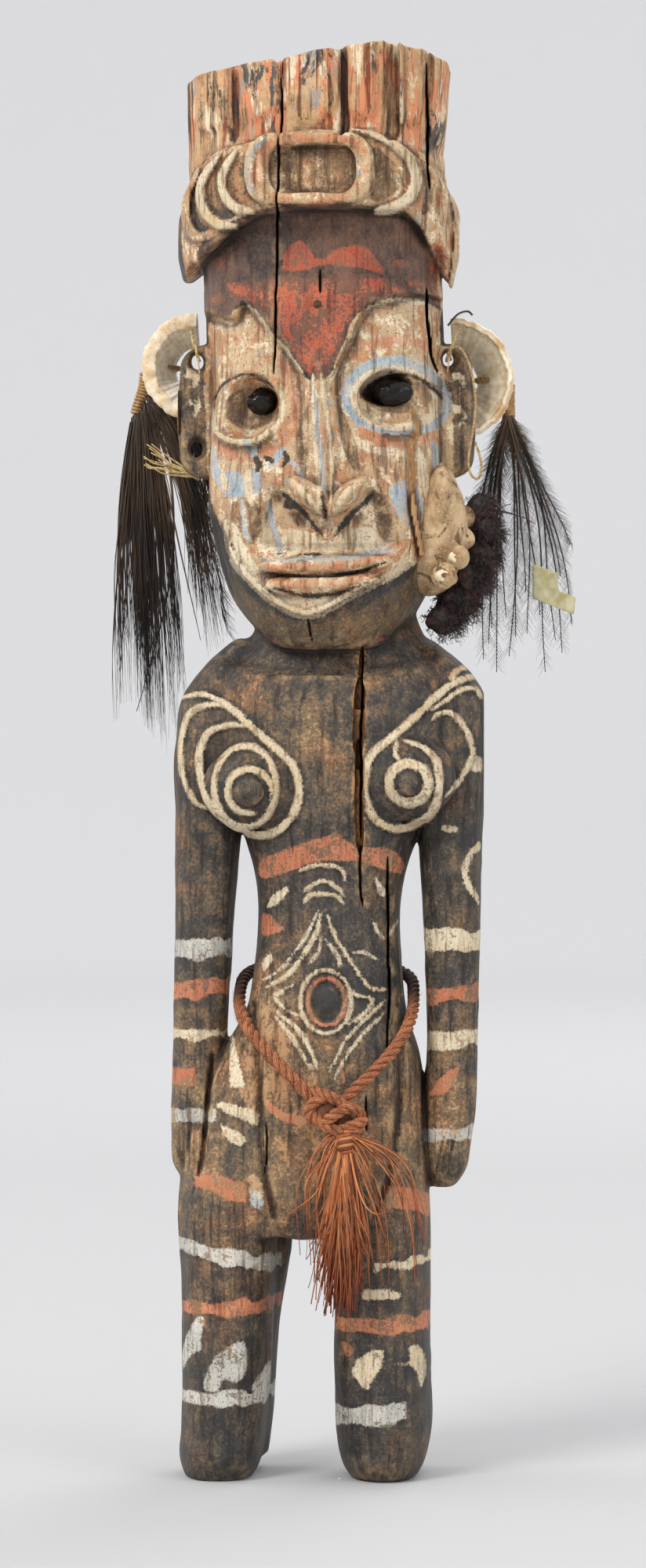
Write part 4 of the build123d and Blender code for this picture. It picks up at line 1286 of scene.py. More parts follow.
def painted_wood_material():
    """Dark ground worn down to wood, the crown's weathered colours, every paint with its own chips, and dirt
    with painted shade in hollows.
    """
    shader = Shader("painted_wood", roughness=0.66)
    grain = shader.noise(230, 5, 0.65, stretch=(1, 1, 0.1))
    blotch = shader.noise(24, 5, 0.62, twist=0.4)
    patchy = shader.noise(85, 5, 0.68, twist=0.3)
    specks = shader.noise(520, 4, 0.7)
    grit = shader.noise(1400, 3, 0.7)

    def weighed(*terms):
        """The sum of values, each times its weight."""
        total = 0.0
        for value, weight in terms:
            total = shader.math("MULTIPLY_ADD", value, weight, total)
        return total

    wear = weighed((shader.attribute("tone"), 1.0), (blotch, 1.0), (patchy, 1.1), (grain, 0.5), (specks, 1.2),
                   (grit, 0.6), (1.0, -0.6))
    colour = shader.grade(wear, 1.82, 2.00, "2a2826", "4f463b")
    colour = shader.grade(wear, 2.06, 2.20, colour, "7e674c")
    colour = shader.grade(wear, 2.30, 2.48, colour, "c09c72")
    crown = shader.attribute("crown")
    streak = shader.noise(52, 5, 0.7, stretch=(1, 1, 0.35))
    flake = shader.noise(64, 5, 0.72, stretch=(1, 1, 0.4), twist=0.5)
    pale = shader.noise(90, 4, 0.7, stretch=(1, 1, 0.3))
    rusty = shader.math("MULTIPLY", shader.step(blotch, 0.48, 0.64), 0.4)
    colour = shader.mix(rusty, colour, shader.times(1.0, colour, "e8b090"))
    weathered = shader.noise(40, 5, 0.72, stretch=(1, 1, 0.5), twist=0.4)
    splinter = shader.noise(210, 4, 0.6, stretch=(1, 1, 0.05))
    noises = {"patchy": patchy, "streak": streak, "pale": pale, "weathered": weathered, "flake": flake,
              "specks": specks}
    for name, (low, high, hue) in CROWN_COLOURS.items():
        colour = shader.mix(shader.math("MULTIPLY", crown, shader.step(noises[name], low, high)), colour, hue)
    colour = shader.times(shader.math("MULTIPLY", crown, shader.step(splinter, 0.46, 0.38)), colour, "96765a")
    ragged = weighed((patchy, 5.0), (specks, 5.0), (grit, 3.0), (1.0, -6.5))
    chips = weighed((patchy, 0.6), (grain, 0.45), (specks, 0.6), (grit, 0.3))
    flecks = weighed((patchy, 0.9), (specks, 0.9), (grit, 0.15), (shader.attribute("red"), -0.02))
    thickness = 0.0
    tan = shader.step(shader.attribute("tan"), -0.3, 0.3)
    for name, low, high, worn_from, worn_to in PAINT_COLOURS:
        edge = shader.math("ADD", shader.attribute(name), ragged)
        share = shader.step(edge, -0.35, 0.35)
        keep = shader.step(flecks if name == "red" else chips, worn_to, worn_from)
        keep = shader.math("MAXIMUM", keep, 0.08)
        share = shader.math("MULTIPLY", share, keep)
        if name == "salmon":
            share = shader.math("MULTIPLY", share, shader.math("MULTIPLY_ADD", tan, -0.35, 1.0))
        shade = shader.grade(weighed((patchy, 0.6), (blotch, 0.4), (specks, 0.5)), 0.62, 0.86, low, high)
        if name == "tan":
            shade = shader.grade(shader.noise(75, 5, 0.7, twist=0.4), 0.49, 0.57, shade, "c18a60")
            shade = shader.grade(shader.noise(110, 5, 0.7, twist=0.6), 0.59, 0.63, shade, "a3a49d")
            shade = shader.grade(shader.noise(95, 5, 0.72, twist=0.3), 0.54, 0.60, shade, "eedcb9")
            shade = shader.grade(weighed((specks, 1.0), (grit, 0.6)), 0.86, 0.96, shade, "7f6144")
        colour = shader.mix(share, colour, shade)
        thickness = shader.math("MAXIMUM", thickness, share)
    # Dirt and painted shade darken the hollows.
    hollow_dirt_and_shade = shader.math("MULTIPLY", shader.attribute("cavity"), 0.74)
    colour = shader.times(hollow_dirt_and_shade, colour, "573b28")
    dust = shader.math("MULTIPLY", shader.attribute("edge"), shader.step(patchy, 0.42, 0.62))
    colour = shader.mix(shader.math("MULTIPLY", dust, 0.55), colour, "b99a70")
    colour = shader.times(shader.step(grain, 0.48, 0.34), colour, "a08f80")
    shader.bump(shader.math("MULTIPLY", grain, shader.math("MULTIPLY_ADD", thickness, -0.75, 1.0)), 0.5, 0.7)
    shader.bump(specks, 0.9, 0.8)
    shader.bump(grit, 0.3, 0.7)
    shader.bump(thickness, 0.45, 0.8)
    return shader.finish(colour, shader.grade(wear, 1.8, 2.3, PAINT_ROUGHNESS, WORN_ROUGHNESS))


def make_carving():
    """Turns the field into the log's mesh, with its paint, wear and painted shade in hollows as a value at
    each point.
    """
    points, faces, small, large = carving_mesh()
    mesh_points = np.ascontiguousarray(place(points), np.float32)
    mesh = bpy.data.meshes.new("carved_wood")
    mesh.vertices.add(len(points))
    mesh.vertices.foreach_set("co", mesh_points.ravel())
    mesh.loops.add(faces.size)
    mesh.loops.foreach_set("vertex_index", faces.astype(np.int32).ravel())
    mesh.polygons.add(len(faces))
    mesh.polygons.foreach_set("loop_start", np.arange(0, faces.size, 4, dtype=np.int32))
    mesh.update(calc_edges=True)
    mesh.validate()
    mesh.shade_smooth()
    normals = np.empty(len(points) * 3, np.float32)
    mesh.vertices.foreach_get("normal", normals)
    layers = paint_layers(points, normals.reshape(-1, 3))
    layers["tone"] = ground_tone(points)
    layers["crown"] = np.clip((points[:, 2] - 806 + 5 * np.sin(points[:, 0] / 9)) / 22, 0, 1)
    # How hollow each point lies, for dirt and painted shade in the hollows.
    layers["cavity"] = np.clip(-small / 0.35 - 0.15, 0, 1) * 0.6 + np.clip(-large / 1.6 - 0.2, 0, 1) * 0.6
    layers["edge"] = np.clip(small / 0.4 - 0.15, 0, 1)
    finish_piece(mesh, layers, painted_wood_material(), "figure", "painted_wood", "carved_figure")


make_carving()


# ---------------------------------------------------------------- knot and tassel
KNOT_TURNS = [
    [(-3, -60, 243), (6, -66, 240), (14, -67, 236), (21, -63, 230)],
    [(11, -61, 239), (0, -65, 237), (-5, -64, 231), (-3, -62, 225), (6, -61, 222)],
    [(2, -64, 222), (9, -69, 227), (17, -69, 232), (24, -65, 231), (27, -60, 226)],
    [(-3, -62, 228), (5, -67, 221), (14, -68, 219), (22, -66, 222), (29, -62, 225)],
    [(10, -65, 217), (16, -66, 215), (22, -65, 217), (26, -62, 221)],
]


def make_knot():
    """Five turns of rope laid over each other on two lumps that fill the knot's middle."""
    turns = []
    for number, turn in enumerate(KNOT_TURNS):
        line = smooth_line(turn, spacing=0.9)
        turns.append(rope_strands(line, 7.2, pitch=17, phase=number))
    for number, (core, radii) in enumerate((((8, -61, 229), (12, 5, 9)), ((16, -61, 221), (9, 5, 6)))):
        filling = lump(core, radii, seed=40 + number)
        filling[2]["shade"] = np.full(len(filling[0]), 0.7)
        turns.append(filling)
    knot = joined(*turns)
    knot[2]["shade"] = np.maximum(knot[2]["shade"], 0.35 * np.clip((knot[0][:, 1] + 64) / 5, 0, 1))
    add_piece("belt_knot", knot, ROPE, "figure", "rope", "belt_knot")


def lump(centre, radii, turn=0.0, rough=0.05, seed=0, rings=26, sides=40):
    """A closed rounded lump with an uneven surface, turned about the viewing direction."""
    source = np.random.default_rng(seed)
    rows = np.linspace(0, np.pi, rings + 1)
    rows[[0, -1]] = 0.04, np.pi - 0.04
    turns = 2 * np.pi * np.arange(sides) / sides
    level = np.sin(rows)[:, None]
    way = np.broadcast_arrays(level * np.cos(turns), level * np.sin(turns), np.cos(rows)[:, None])
    way = np.stack(way, -1)
    bumps = np.zeros(way.shape[:2])
    for octave in (1, 2, 4):
        for _ in range(4):
            bumps += np.sin(way @ source.normal(0, 3.0 * octave, 3) + source.uniform(0, 6)) / (4 * octave)
    local = way * np.array(radii) * (1 + rough * bumps[..., None])
    cos, sin = math.cos(math.radians(turn)), math.sin(math.radians(turn))
    x = local[..., 0] * cos + local[..., 2] * sin
    z = -local[..., 0] * sin + local[..., 2] * cos
    points = np.stack([x, local[..., 1], z], -1).reshape(-1, 3) + np.array(centre)
    index = np.arange((rings + 1) * sides).reshape(rings + 1, sides)
    upper, lower = index[:-1], index[1:]
    quads = np.stack([upper, lower, np.roll(lower, -1, 1), np.roll(upper, -1, 1)], -1).reshape(-1, 4)
    attributes = {
        "along": np.broadcast_to((rows / np.pi)[:, None], index.shape).ravel(),
        "strand": np.zeros(index.size), "ridge": (0.5 + 0.5 * bumps).ravel(),
    }
    return points, quads.tolist() + [index[0].tolist(), index[-1, ::-1].tolist()], attributes


def strands(roots, ways, tips, radius, steps=14, sides=4, wave=0.0, waves=1.5, taper=0.25):
    """Tapered fibres from roots, leaving along ways, to tips, with a slow wave across each."""
    roots, ways, tips = (np.asarray(group, float) for group in (roots, ways, tips))
    t = np.linspace(0, 1, steps)[None, :, None]
    handle = roots + ways
    paths = (1 - t) ** 2 * roots[:, None] + 2 * t * (1 - t) * handle[:, None] + t * t * tips[:, None]
    count = len(roots)
    for axis in range(3):
        phase = random.uniform(0, 6.3, (count, 1))
        rate = waves * random.uniform(0.6, 1.5, (count, 1))
        size = wave * random.uniform(0.3, 1.2, (count, 1))
        paths[:, :, axis] += size * np.sin(phase + 2 * np.pi * rate * t[:, :, 0]) * t[:, :, 0] ** 0.7
    radii = radius * random.uniform(0.7, 1.25, (count, 1)) * (1 - (1 - taper) * t[:, :, 0] ** 1.5)
    return tubes(paths, radii, sides)


def tassel_material():
    shader = Shader("tassel_fibre", roughness=0.7)
    along = shader.attribute("along")
    colour = shader.mix(shader.attribute("strand"), "5c2812", "e2935c")
    colour = shader.grade(shader.noise(160, 2), 0.5, 0.7, colour, "b5622f")
    colour = shader.times(shader.step(along, 0.6, 1.0), colour, "b98f78")
    return shader.finish(colour)


def make_tassel():
    """The rope's frayed end: a bundle of fibres, strays to both sides, and the cord wound round its top."""
    count = 330
    root_turn = random.uniform(0, 2 * np.pi, count)
    root_reach = 4.2 * np.sqrt(random.random(count))
    roots = np.stack([17 + root_reach * np.cos(root_turn), -65 + 0.8 * root_reach * np.sin(root_turn),
                      216 + random.uniform(-2, 2, count)], 1)
    side = np.clip(random.normal(0, 0.75, count), -1.7, 1.8)
    depth = np.clip(random.normal(0, 0.5, count), -1.2, 1.2)
    drop = random.beta(2.4, 1.4, count)
    tips = np.stack([20 - 8 * drop + 17 * side * (1.25 - 0.9 * drop) + random.uniform(-4, 4, count),
                     -66 - 6 * depth, 176 - 72 * drop], 1)
    ways = np.stack([9 * side * (0.4 + 0.6 * random.random(count)), -5 - 5 * np.abs(depth),
                     -random.uniform(34, 52, count)], 1)
    bundle = strands(roots, ways, tips, 0.56, steps=18, wave=2.4, waves=0.9, taper=0.5)
    loose = 40
    to_left, to_right = random.uniform(-2.6, -1.2, loose // 2), random.uniform(1.2, 3.6, loose - loose // 2)
    side = np.concatenate([to_left, to_right])
    tips = np.stack([20 + 13 * side, -66 + random.uniform(-5, 5, loose), random.uniform(118, 178, loose)], 1)
    ways = np.stack([13 * side, -6 + np.zeros(loose), random.uniform(-22, 4, loose)], 1)
    flyaway = strands(roots[:loose], ways, tips, 0.45, steps=18, wave=2.6, waves=1.1, taper=0.45)
    wrapped = smooth_line([(17, -65, 219), (17.2, -65.3, 211), (17.6, -65.6, 205)], spacing=0.35)
    wraps = tubes(twisted(wrapped, 2, 4.6, 4.2), 1.15, 8, ridges=3, ridge_height=0.12, ridge_turns=12)
    add_piece("tassel_fibres", joined(bundle, flyaway, wraps), tassel_material(), "tassel", "tassel_fibre",
              "belt_tassel")


make_knot()
make_tassel()


# ---------------------------------------------------------------- shell rings and what ties them
def shell_material():
    shader = Shader("ring_shell", roughness=0.42)
    rim = shader.attribute("rim")
    growth = shader.noise(170, 4, 0.6, twist=0.3)
    stain = shader.noise(70, 5, 0.65)
    face = shader.grade(stain, 0.40, 0.64, "f6ead0", "cfa873")
    # The inner wall is given light colours: painted light against the shade inside the ring.
    inner = shader.grade(growth, 0.36, 0.62, "e4c99c", "fdf0d4")
    colour = shader.grade(rim, 0.35, 0.6, inner, face)
    pits = shader.step(shader.noise(900, 3, 0.7), 0.62, 0.72)
    colour = shader.times(pits, colour, "7a5c3c")
    shader.bump(growth, 0.35, 0.7)
    shader.bump(stain, 0.5, 0.4)
    return shader.finish(colour)


SHELL = shell_material()
RING_FRONT, RING_BACK = 2.5, 30.5


def make_ring(name, node, body, cx, cz, outer, inner, far_inner, start, stop):
    """A slice of a cone shell: a worn flat rim in front, a wall that narrows towards the back."""
    far_outer = far_inner + 5
    profile = [(inner + 0.6, RING_FRONT + 1.6), (inner + 1.6, RING_FRONT + 0.3), (inner + 4, RING_FRONT),
               (outer - 4, RING_FRONT), (outer - 1.4, RING_FRONT + 0.4), (outer - 0.2, RING_FRONT + 1.8),
               (outer - 0.1, RING_FRONT + 4), (0.75 * outer + 0.25 * far_outer, 13),
               (0.35 * outer + 0.65 * far_outer, 22), (far_outer, RING_BACK), (far_inner, RING_BACK),
               (0.35 * inner + 0.65 * far_inner, 22), (0.75 * inner + 0.25 * far_inner, 12),
               (inner - 0.4, RING_FRONT + 5)]
    line = smooth_line(np.array(profile), samples=3, closed=True)[:-1]
    turns = np.radians(np.linspace(start, stop, 150))
    depth = np.clip((line[:, 1] - RING_FRONT) / (RING_BACK - RING_FRONT), 0, 1)
    wave = 0.35 * np.sin(9 * turns + 1) + 0.25 * np.sin(23 * turns) + 0.2 * np.sin(41 * turns + 2)
    radius = line[:, 0][None, :] + wave[:, None] * (1 - 0.5 * depth[None, :])
    worn = 0.35 * np.sin(17 * turns)[:, None] * (1 - depth[None, :]) ** 4
    points = np.stack([cx + radius * np.cos(turns)[:, None], line[:, 1][None, :] + worn,
                       cz + radius * np.sin(turns)[:, None]], -1)
    index = np.arange(points.shape[0] * points.shape[1]).reshape(points.shape[:2])
    here, ahead = index[:-1], index[1:]
    quads = np.stack([here, np.roll(here, -1, 1), np.roll(ahead, -1, 1), ahead], -1).reshape(-1, 4)
    outside = (line[:, 0] > inner + 5) * (line[:, 1] < 16)
    rim = np.clip(1 - (line[:, 1] - RING_FRONT - 1.5) / 2, 0, 1) + outside
    attributes = {"rim": np.broadcast_to(np.clip(rim, 0, 1)[None, :], index.shape).ravel()}
    faces = quads[:, ::-1].tolist() + [index[0].tolist(), index[-1, ::-1].tolist()]
    add_piece(name, (points.reshape(-1, 3), faces, attributes), SHELL, body, "shell", node)


make_ring("left_ring", "left_shell_ring", "left_ring", -80, 690, 33.5, 24, 14, 88, 272)
make_ring("right_ring", "right_shell_ring", "right_ring", 80.5, 681.5, 38, 33, 15, -92, 92)


def fibre_material(name, low, high, stain, roughness=0.7, scale=500):
    shader = Shader(name, roughness=roughness)
    fibre = shader.noise(scale, 4, 0.6)
    colour = shader.grade(fibre, 0.35, 0.65, low, high)
    colour = shader.grade(shader.noise(90, 3), 0.5, 0.72, colour, stain)
    colour = shader.mix(shader.math("MULTIPLY", shader.attribute("strand"), 0.45), colour, low)
    shader.bump(fibre, 0.2, 0.7)
    return shader.finish(colour)


STRAW = fibre_material("dry_straw", "a2814f", "e6cf98", "c7a566", 0.55)
THREAD = fibre_material("dark_thread", "2a1d15", "5a4330", "35261b")
BINDING = fibre_material("wrapped_fibre", "7c5c39", "c7a271", "a8814f", 0.65, 420)


def make_tie(name, node, x, z, lean):
    """A pair of straws through an ear's hole, over its top and round the ring, with a short tail."""
    knots = [(x, -3, z), (x, -12, z + 0.4), (x, -16, z + 1.5), (x + 0.4 * lean, -17.6, z + 6),
             (x + lean, -16.5, z + 10), (x + 1.5 * lean, -8, z + 15), (x + 2 * lean, 1.2, z + 19),
             (x + 2.2 * lean, 5, z + 19.6)]
    pair = twisted(smooth_line(knots, spacing=0.5), 2, 0.55, 13)
    tail = smooth_line([(x + 0.4, -17, z + 2), (x - 0.3 * lean, -18.5, z - 3), (x - 0.6 * lean, -18, z - 9)],
                       spacing=0.5)
    add_piece(name, joined(tubes(pair, 0.6, 8), tubes(tail, 0.45, 7)), STRAW, "figure", "straw", node)


make_tie("left_tie", "left_ring_tie", -77, 693, -2.5)
make_tie("right_tie", "right_ring_tie", 79.4, 693, 2.5)
thread_line = smooth_line([(78, -7, 714), (84, -5, 721), (90, 2, 723.5), (93, -1, 721)], spacing=0.4)
ring_thread = tubes(twisted(thread_line, 2, 0.36, 3), 0.4, 8)
ring_thread[2]["strand"] = np.zeros(len(ring_thread[0]))
add_piece("ring_thread", ring_thread, THREAD, "figure", "thread", "right_ring_thread")


# ---------------------------------------------------------------- feathers
def feather_material():
    shader = Shader("dark_feather", roughness=0.5)
    colour = shader.mix(shader.math("POWER", shader.attribute("strand"), 2.5), "0b0908", "46362a")
    tuft = shader.step(shader.noise(30, 3, 0.6, stretch=(1, 1, 0.25)), 0.38, 0.62)
    brown = shader.math("MULTIPLY", shader.step(shader.attribute("brown"), 0.0, 1.0), tuft)
    colour = shader.mix(brown, colour, "6f553d")
    return shader.finish(colour)


FEATHER = feather_material()


def wrapped_binding(name, node, body, line, wide, narrow):
    """A cord of fibre wound tightly round the quills' upper ends."""
    core = smooth_line(line, spacing=0.22)
    share = np.linspace(0, 1, len(core))
    radius = wide + (narrow - wide) * share
    across, up = carried_frames(core[None])
    turn = 2 * np.pi * 13 * share
    out = np.cos(turn)[:, None] * across[0] + np.sin(turn)[:, None] * up[0]
    coil = core + (radius - 0.7)[:, None] * out
    quills = [core + np.array((0.9 * dx, 0.9 * dy, 0)) for dx, dy in ((-1, 0), (1, 0.6), (0.2, -1))]
    parts = [tubes(coil, 0.8, 8, ridges=2, ridge_height=0.15, ridge_turns=40), tubes(core, radius - 1.0, 14),
             tubes(np.array(quills), 1.0, 6)]
    add_piece(name, joined(*parts), BINDING, body, "binding", node)


wrapped_binding("left_binding", "left_feather_binding", "left_feather_bundle",
                [(-113.5, 38, 689), (-115, 39, 680), (-118, 39, 672), (-121, 39, 663)], 4.6, 3.2)
wrapped_binding("right_binding", "right_feather_binding", "right_feather_bundle",
                [(114.5, 38, 680), (115, 39, 672), (116, 39, 661)], 4.6, 3.2)


def make_lashing(name, body, points):
    """Fibre that ties a feather binding to its ring, over the ring's back edge. It swings with the ring."""
    line = smooth_line(points, spacing=0.4)
    add_piece(name, tubes(twisted(line, 3, 0.9, 9), 0.75, 8), BINDING, body, "binding")


make_lashing("left_lashing", "left_ring",
             [(-113.5, 38.5, 687), (-106, 35.5, 690), (-97, 33, 690.5), (-92.5, 30, 691), (-93.5, 25, 691),
              (-98, 20, 691)])
make_lashing("right_lashing", "right_ring",
             [(114.5, 38.5, 678.5), (108, 35.5, 681), (98, 33, 682), (93.8, 30, 682.5), (95.5, 25, 682.5),
              (103, 20, 682.5)])


def make_left_feathers():
    """A thick bundle of long soft barbs that spreads from the binding and sweeps back to the figure."""
    count = 600
    tufts = random.random(34)
    share = np.clip(tufts[random.integers(0, len(tufts), count)] + random.normal(0, 0.008, count), 0, 1)
    edge = smooth_line(
        [(-134, 466), (-127, 478), (-117, 474), (-110, 456), (-101, 451), (-92, 470), (-84, 492), (-74, 508),
         (-64, 522), (-59, 540), (-63, 566), (-70, 592)], samples=8)
    at = share * (len(edge) - 1)
    low = at.astype(int)
    tip = edge[low] + (edge[np.minimum(low + 1, len(edge) - 1)] - edge[low]) * (at - low)[:, None]
    back = random.uniform(0.56, 1.0, count)[:, None] ** 0.8
    tip = np.array((-116, 640)) + (tip - (-116, 640)) * back
    depth = random.uniform(35.5, 43, count)
    roots = np.stack([-122 + 15 * share + random.uniform(-2, 2, count), random.uniform(36.5, 41.5, count),
                      658 + 22 * share + random.uniform(-5, 5, count)], 1)
    tips = np.stack([tip[:, 0], depth, tip[:, 1]], 1)
    reach = (78 - 46 * share) * random.uniform(0.8, 1.2, count)
    ways = np.stack([-14 + 62 * share, np.zeros(count), -reach], 1)
    barbs = strands(roots, ways, tips, 0.42, steps=24, sides=4, wave=2.2, waves=1.1, taper=0.12)
    shaft_tips = [(-130, 39, 500), (-112, 40, 492), (-96, 38, 500), (-80, 40, 520), (-70, 38, 552),
                  (-120, 41, 476)]
    shaft_roots = [(-116 + 0.8 * i, 39, 664) for i in range(len(shaft_tips))]
    shaft_ways = [(9 * i - 10, 0, -60) for i in range(len(shaft_tips))]
    shafts = strands(shaft_roots, shaft_ways, shaft_tips, 0.8, steps=24, sides=6, wave=0.8)
    edge_count = 150
    share = random.random(edge_count)
    along = smooth_line([(-100, 655), (-79, 621), (-69, 592), (-61, 560), (-58, 532)], samples=12)
    start = along[(share * (len(along) - 1)).astype(int)]
    roots = np.stack([start[:, 0] - 8, random.uniform(36, 42, edge_count), start[:, 1] + 5], 1)
    tips = roots + np.stack([random.uniform(7, 12, edge_count), random.uniform(-1, 1, edge_count),
                             -random.uniform(12, 26, edge_count)], 1)
    tips[:, 1] = np.clip(tips[:, 1], 35, 43.5)
    fringe = strands(roots, (tips - roots) * (0.2, 0.4, 0.6), tips, 0.2, steps=8, sides=3, wave=0.5)
    bundle = joined(barbs, shafts, fringe)
    bundle[2]["brown"] = np.clip((bundle[0][:, 2] - 545) / 70, 0, 1) * 0.9
    add_piece("left_feather_barbs", bundle, FEATHER, "left_feather_bundle", "feather", "left_feathers")


def make_right_feathers():
    """Separate thin shafts with fine barbs down both sides."""
    ends = [(99, 547), (104, 528), (98, 508), (112, 534), (119, 522), (128, 524), (139, 500), (150, 512),
            (154, 530), (146, 560), (108, 552), (133, 536), (94, 574), (124, 550), (152, 580), (101, 518),
            (94, 530), (116, 510), (144, 520), (106, 500)]
    count = len(ends)
    roots = np.stack([115 + random.uniform(-2, 2, count), 39 + random.uniform(-2, 2, count),
                      np.full(count, 663.0)], 1)
    tips = np.array([(x, random.uniform(35.5, 42.5), z) for x, z in ends])
    spread = (tips[:, 0] - 115) / 40
    ways = np.stack([24 * spread + 6 * np.sign(spread), np.zeros(count), np.full(count, -52.0)], 1)
    t = np.linspace(0, 1, 90)[None, :, None]
    lines = (1 - t) ** 2 * roots[:, None] + 2 * t * (1 - t) * (roots + ways)[:, None] + t * t * tips[:, None]
    rate, phase = random.uniform(4, 9, (count, 1)), random.uniform(0, 6, (count, 1))
    lines[:, :, 0] += 1.6 * np.sin(t[:, :, 0] * rate + phase)
    shafts = tubes(lines, 0.85 * (1 - 0.7 * t[:, :, 0]) * np.ones((count, 1)), 6)
    along = unit(np.gradient(lines, axis=1))
    starts, ways, tips = [], [], []
    for line, heading in zip(lines, along):
        for i in range(3, 88):
            for side in (-1, 1):
                if random.random() < 0.16:
                    continue
                out = side * np.array((-heading[i, 2], random.uniform(-0.3, 0.3), heading[i, 0]))
                reach = random.uniform(9, 17) * (1 - 0.35 * i / 88)
                starts.append(line[i])
                ways.append(0.35 * reach * (heading[i] + 0.5 * out))
                tip = line[i] + reach * (heading[i] * 0.86 + 0.5 * out)
                tips.append((np.clip(tip[0], 88, 155), np.clip(tip[1], 34.8, 43.2), tip[2]))
    barbs = strands(starts, ways, tips, 0.17, steps=6, sides=3, wave=0.5, taper=0.3)
    bundle = joined(shafts, barbs)
    bundle[2]["brown"] = np.clip((bundle[0][:, 2] - 590) / 50, 0, 1) * 0.55
    add_piece("right_feather_shafts", bundle, FEATHER, "right_feather_bundle", "feather", "right_feathers")


make_left_feathers()
make_right_feathers()


def make_tape():
    """A creased scrap of old clear tape on the feathers."""
    corners = [(130, 568), (146, 562), (146, 551), (157, 547), (156, 536), (130, 546), (130, 568)]
    outline = resampled(np.array(corners, float), 1.6)[:-1]
    middle = outline.mean(0)
    rings = np.linspace(0.06, 1, 9)
    flat = middle + (outline - middle)[None] * rings[:, None, None]
    x, z = flat[..., 0], flat[..., 1]
    y = 33.2 + 0.7 * np.sin(x / 2.6 + z / 7) + 0.45 * np.sin(z / 2.1 - x / 5)
    near = np.stack([x, y, z], -1).reshape(-1, 3)
    count, sides = len(rings), len(outline)
    index = np.arange(count * sides).reshape(count, sides)
    quads = np.stack([index[:-1], np.roll(index[:-1], -1, 1), np.roll(index[1:], -1, 1), index[1:]], -1)
    quads = quads.reshape(-1, 4)
    far = near + (0, 0.25, 0)
    edge = np.stack([index[-1], np.roll(index[-1], -1), np.roll(index[-1], -1) + near.shape[0],
                     index[-1] + near.shape[0]], -1)
    faces = quads.tolist() + (quads[:, ::-1] + near.shape[0]).tolist() + edge.tolist()
    faces += [index[0, ::-1].tolist(), (index[0] + near.shape[0]).tolist()]
    shader = Shader("old_tape", roughness=0.3, Transmission_Weight=0.35)
    colour = shader.grade(shader.noise(160, 3), 0.35, 0.7, "c9bd84", "efe9c4")
    add_piece("feather_tape", (np.vstack([near, far]), faces, {}), shader.finish(colour),
              "right_feather_bundle", "tape", "feather_tape")


make_tape()


# ---------------------------------------------------------------- jaw: clay, shells, fur and quill
def clay_material():
    shader = Shader("dry_clay", roughness=0.85)
    broad = shader.noise(60, 5, 0.6)
    grit = shader.noise(700, 4, 0.7)
    crack = shader.step(shader.noise(48, 5, 0.7, twist=1.5), 0.36, 0.41)
    colour = shader.grade(broad, 0.38, 0.62, "8d6d48", "cdb088")
    colour = shader.grade(grit, 0.55, 0.72, colour, "e3cb9f")
    colour = shader.mix(crack, "6a5036", colour)
    shader.bump(grit, 0.35, 0.7)
    shader.bump(crack, 0.8, 0.7)
    shader.bump(broad, 2.0, 0.6)
    return shader.finish(colour)


NASSA_SHELLS = [
    (76, -48.5, 557, 5.4, 4.6), (83, -40, 568.5, 5.2, 4.4), (87.5, -27.5, 580, 4.8, 4.2),
    (90.5, -13, 592.5, 4.6, 4.2),
]


def make_jaw():
    clay = joined(lump((70, -25, 585), (20, 24, 40), 5, rough=0.05, seed=21, rings=70, sides=90),
                  lump((73, -38, 600), (9, 12, 26), 4, rough=0.06, seed=26, rings=50, sides=60),
                  lump((77, -46, 557), (8, 6, 8), rough=0.08, seed=22),
                  lump((84, -37, 569), (8, 7, 8), seed=23),
                  lump((87, -25, 581), (8, 7, 7), rough=0.08, seed=24),
                  lump((88, -12, 594), (8, 8, 8), seed=25))
    add_piece("jaw_clay", clay, clay_material(), "figure", "clay", "jaw_clay")
    domes = []
    for x, y, z, wide, high in NASSA_SHELLS:
        points, faces, _ = lump((0, 0, 0), (wide, 4.2, high), rough=0.02, seed=int(x), rings=40, sides=48)
        away = np.hypot(points[:, 0] / wide, points[:, 2] / high)
        facing = points[:, 1] < 0
        hole = np.clip(1.5 - away / 0.24, 0, 1) * facing
        coil = 0.35 * np.sin(2.2 * 2 * np.pi * away + np.arctan2(points[:, 2], points[:, 0]))
        points[:, 1] += hole * 3.2 - 0.6 * coil * facing * (away > 0.3)
        lean = math.atan2(x - 60, -y + 8)
        cos, sin = math.cos(lean), math.sin(lean)
        turned = np.stack([points[:, 0] * cos - points[:, 1] * sin, points[:, 0] * sin + points[:, 1] * cos,
                           points[:, 2]], 1)
        domes.append((turned + (x, y, z), faces, {"hole": hole}))
    shader = Shader("nassa_shell", roughness=0.35)
    colour = shader.grade(shader.noise(420, 3), 0.35, 0.7, "d2b78b", "f4ecd6")
    # The shells' shallow openings are painted near black: painted shade in their hollows.
    colour = shader.grade(shader.attribute("hole"), 0.1, 0.6, colour, "2a1c12")
    add_piece("nassa_domes", joined(*domes), shader.finish(colour), "figure", "shell", "nassa_shells")


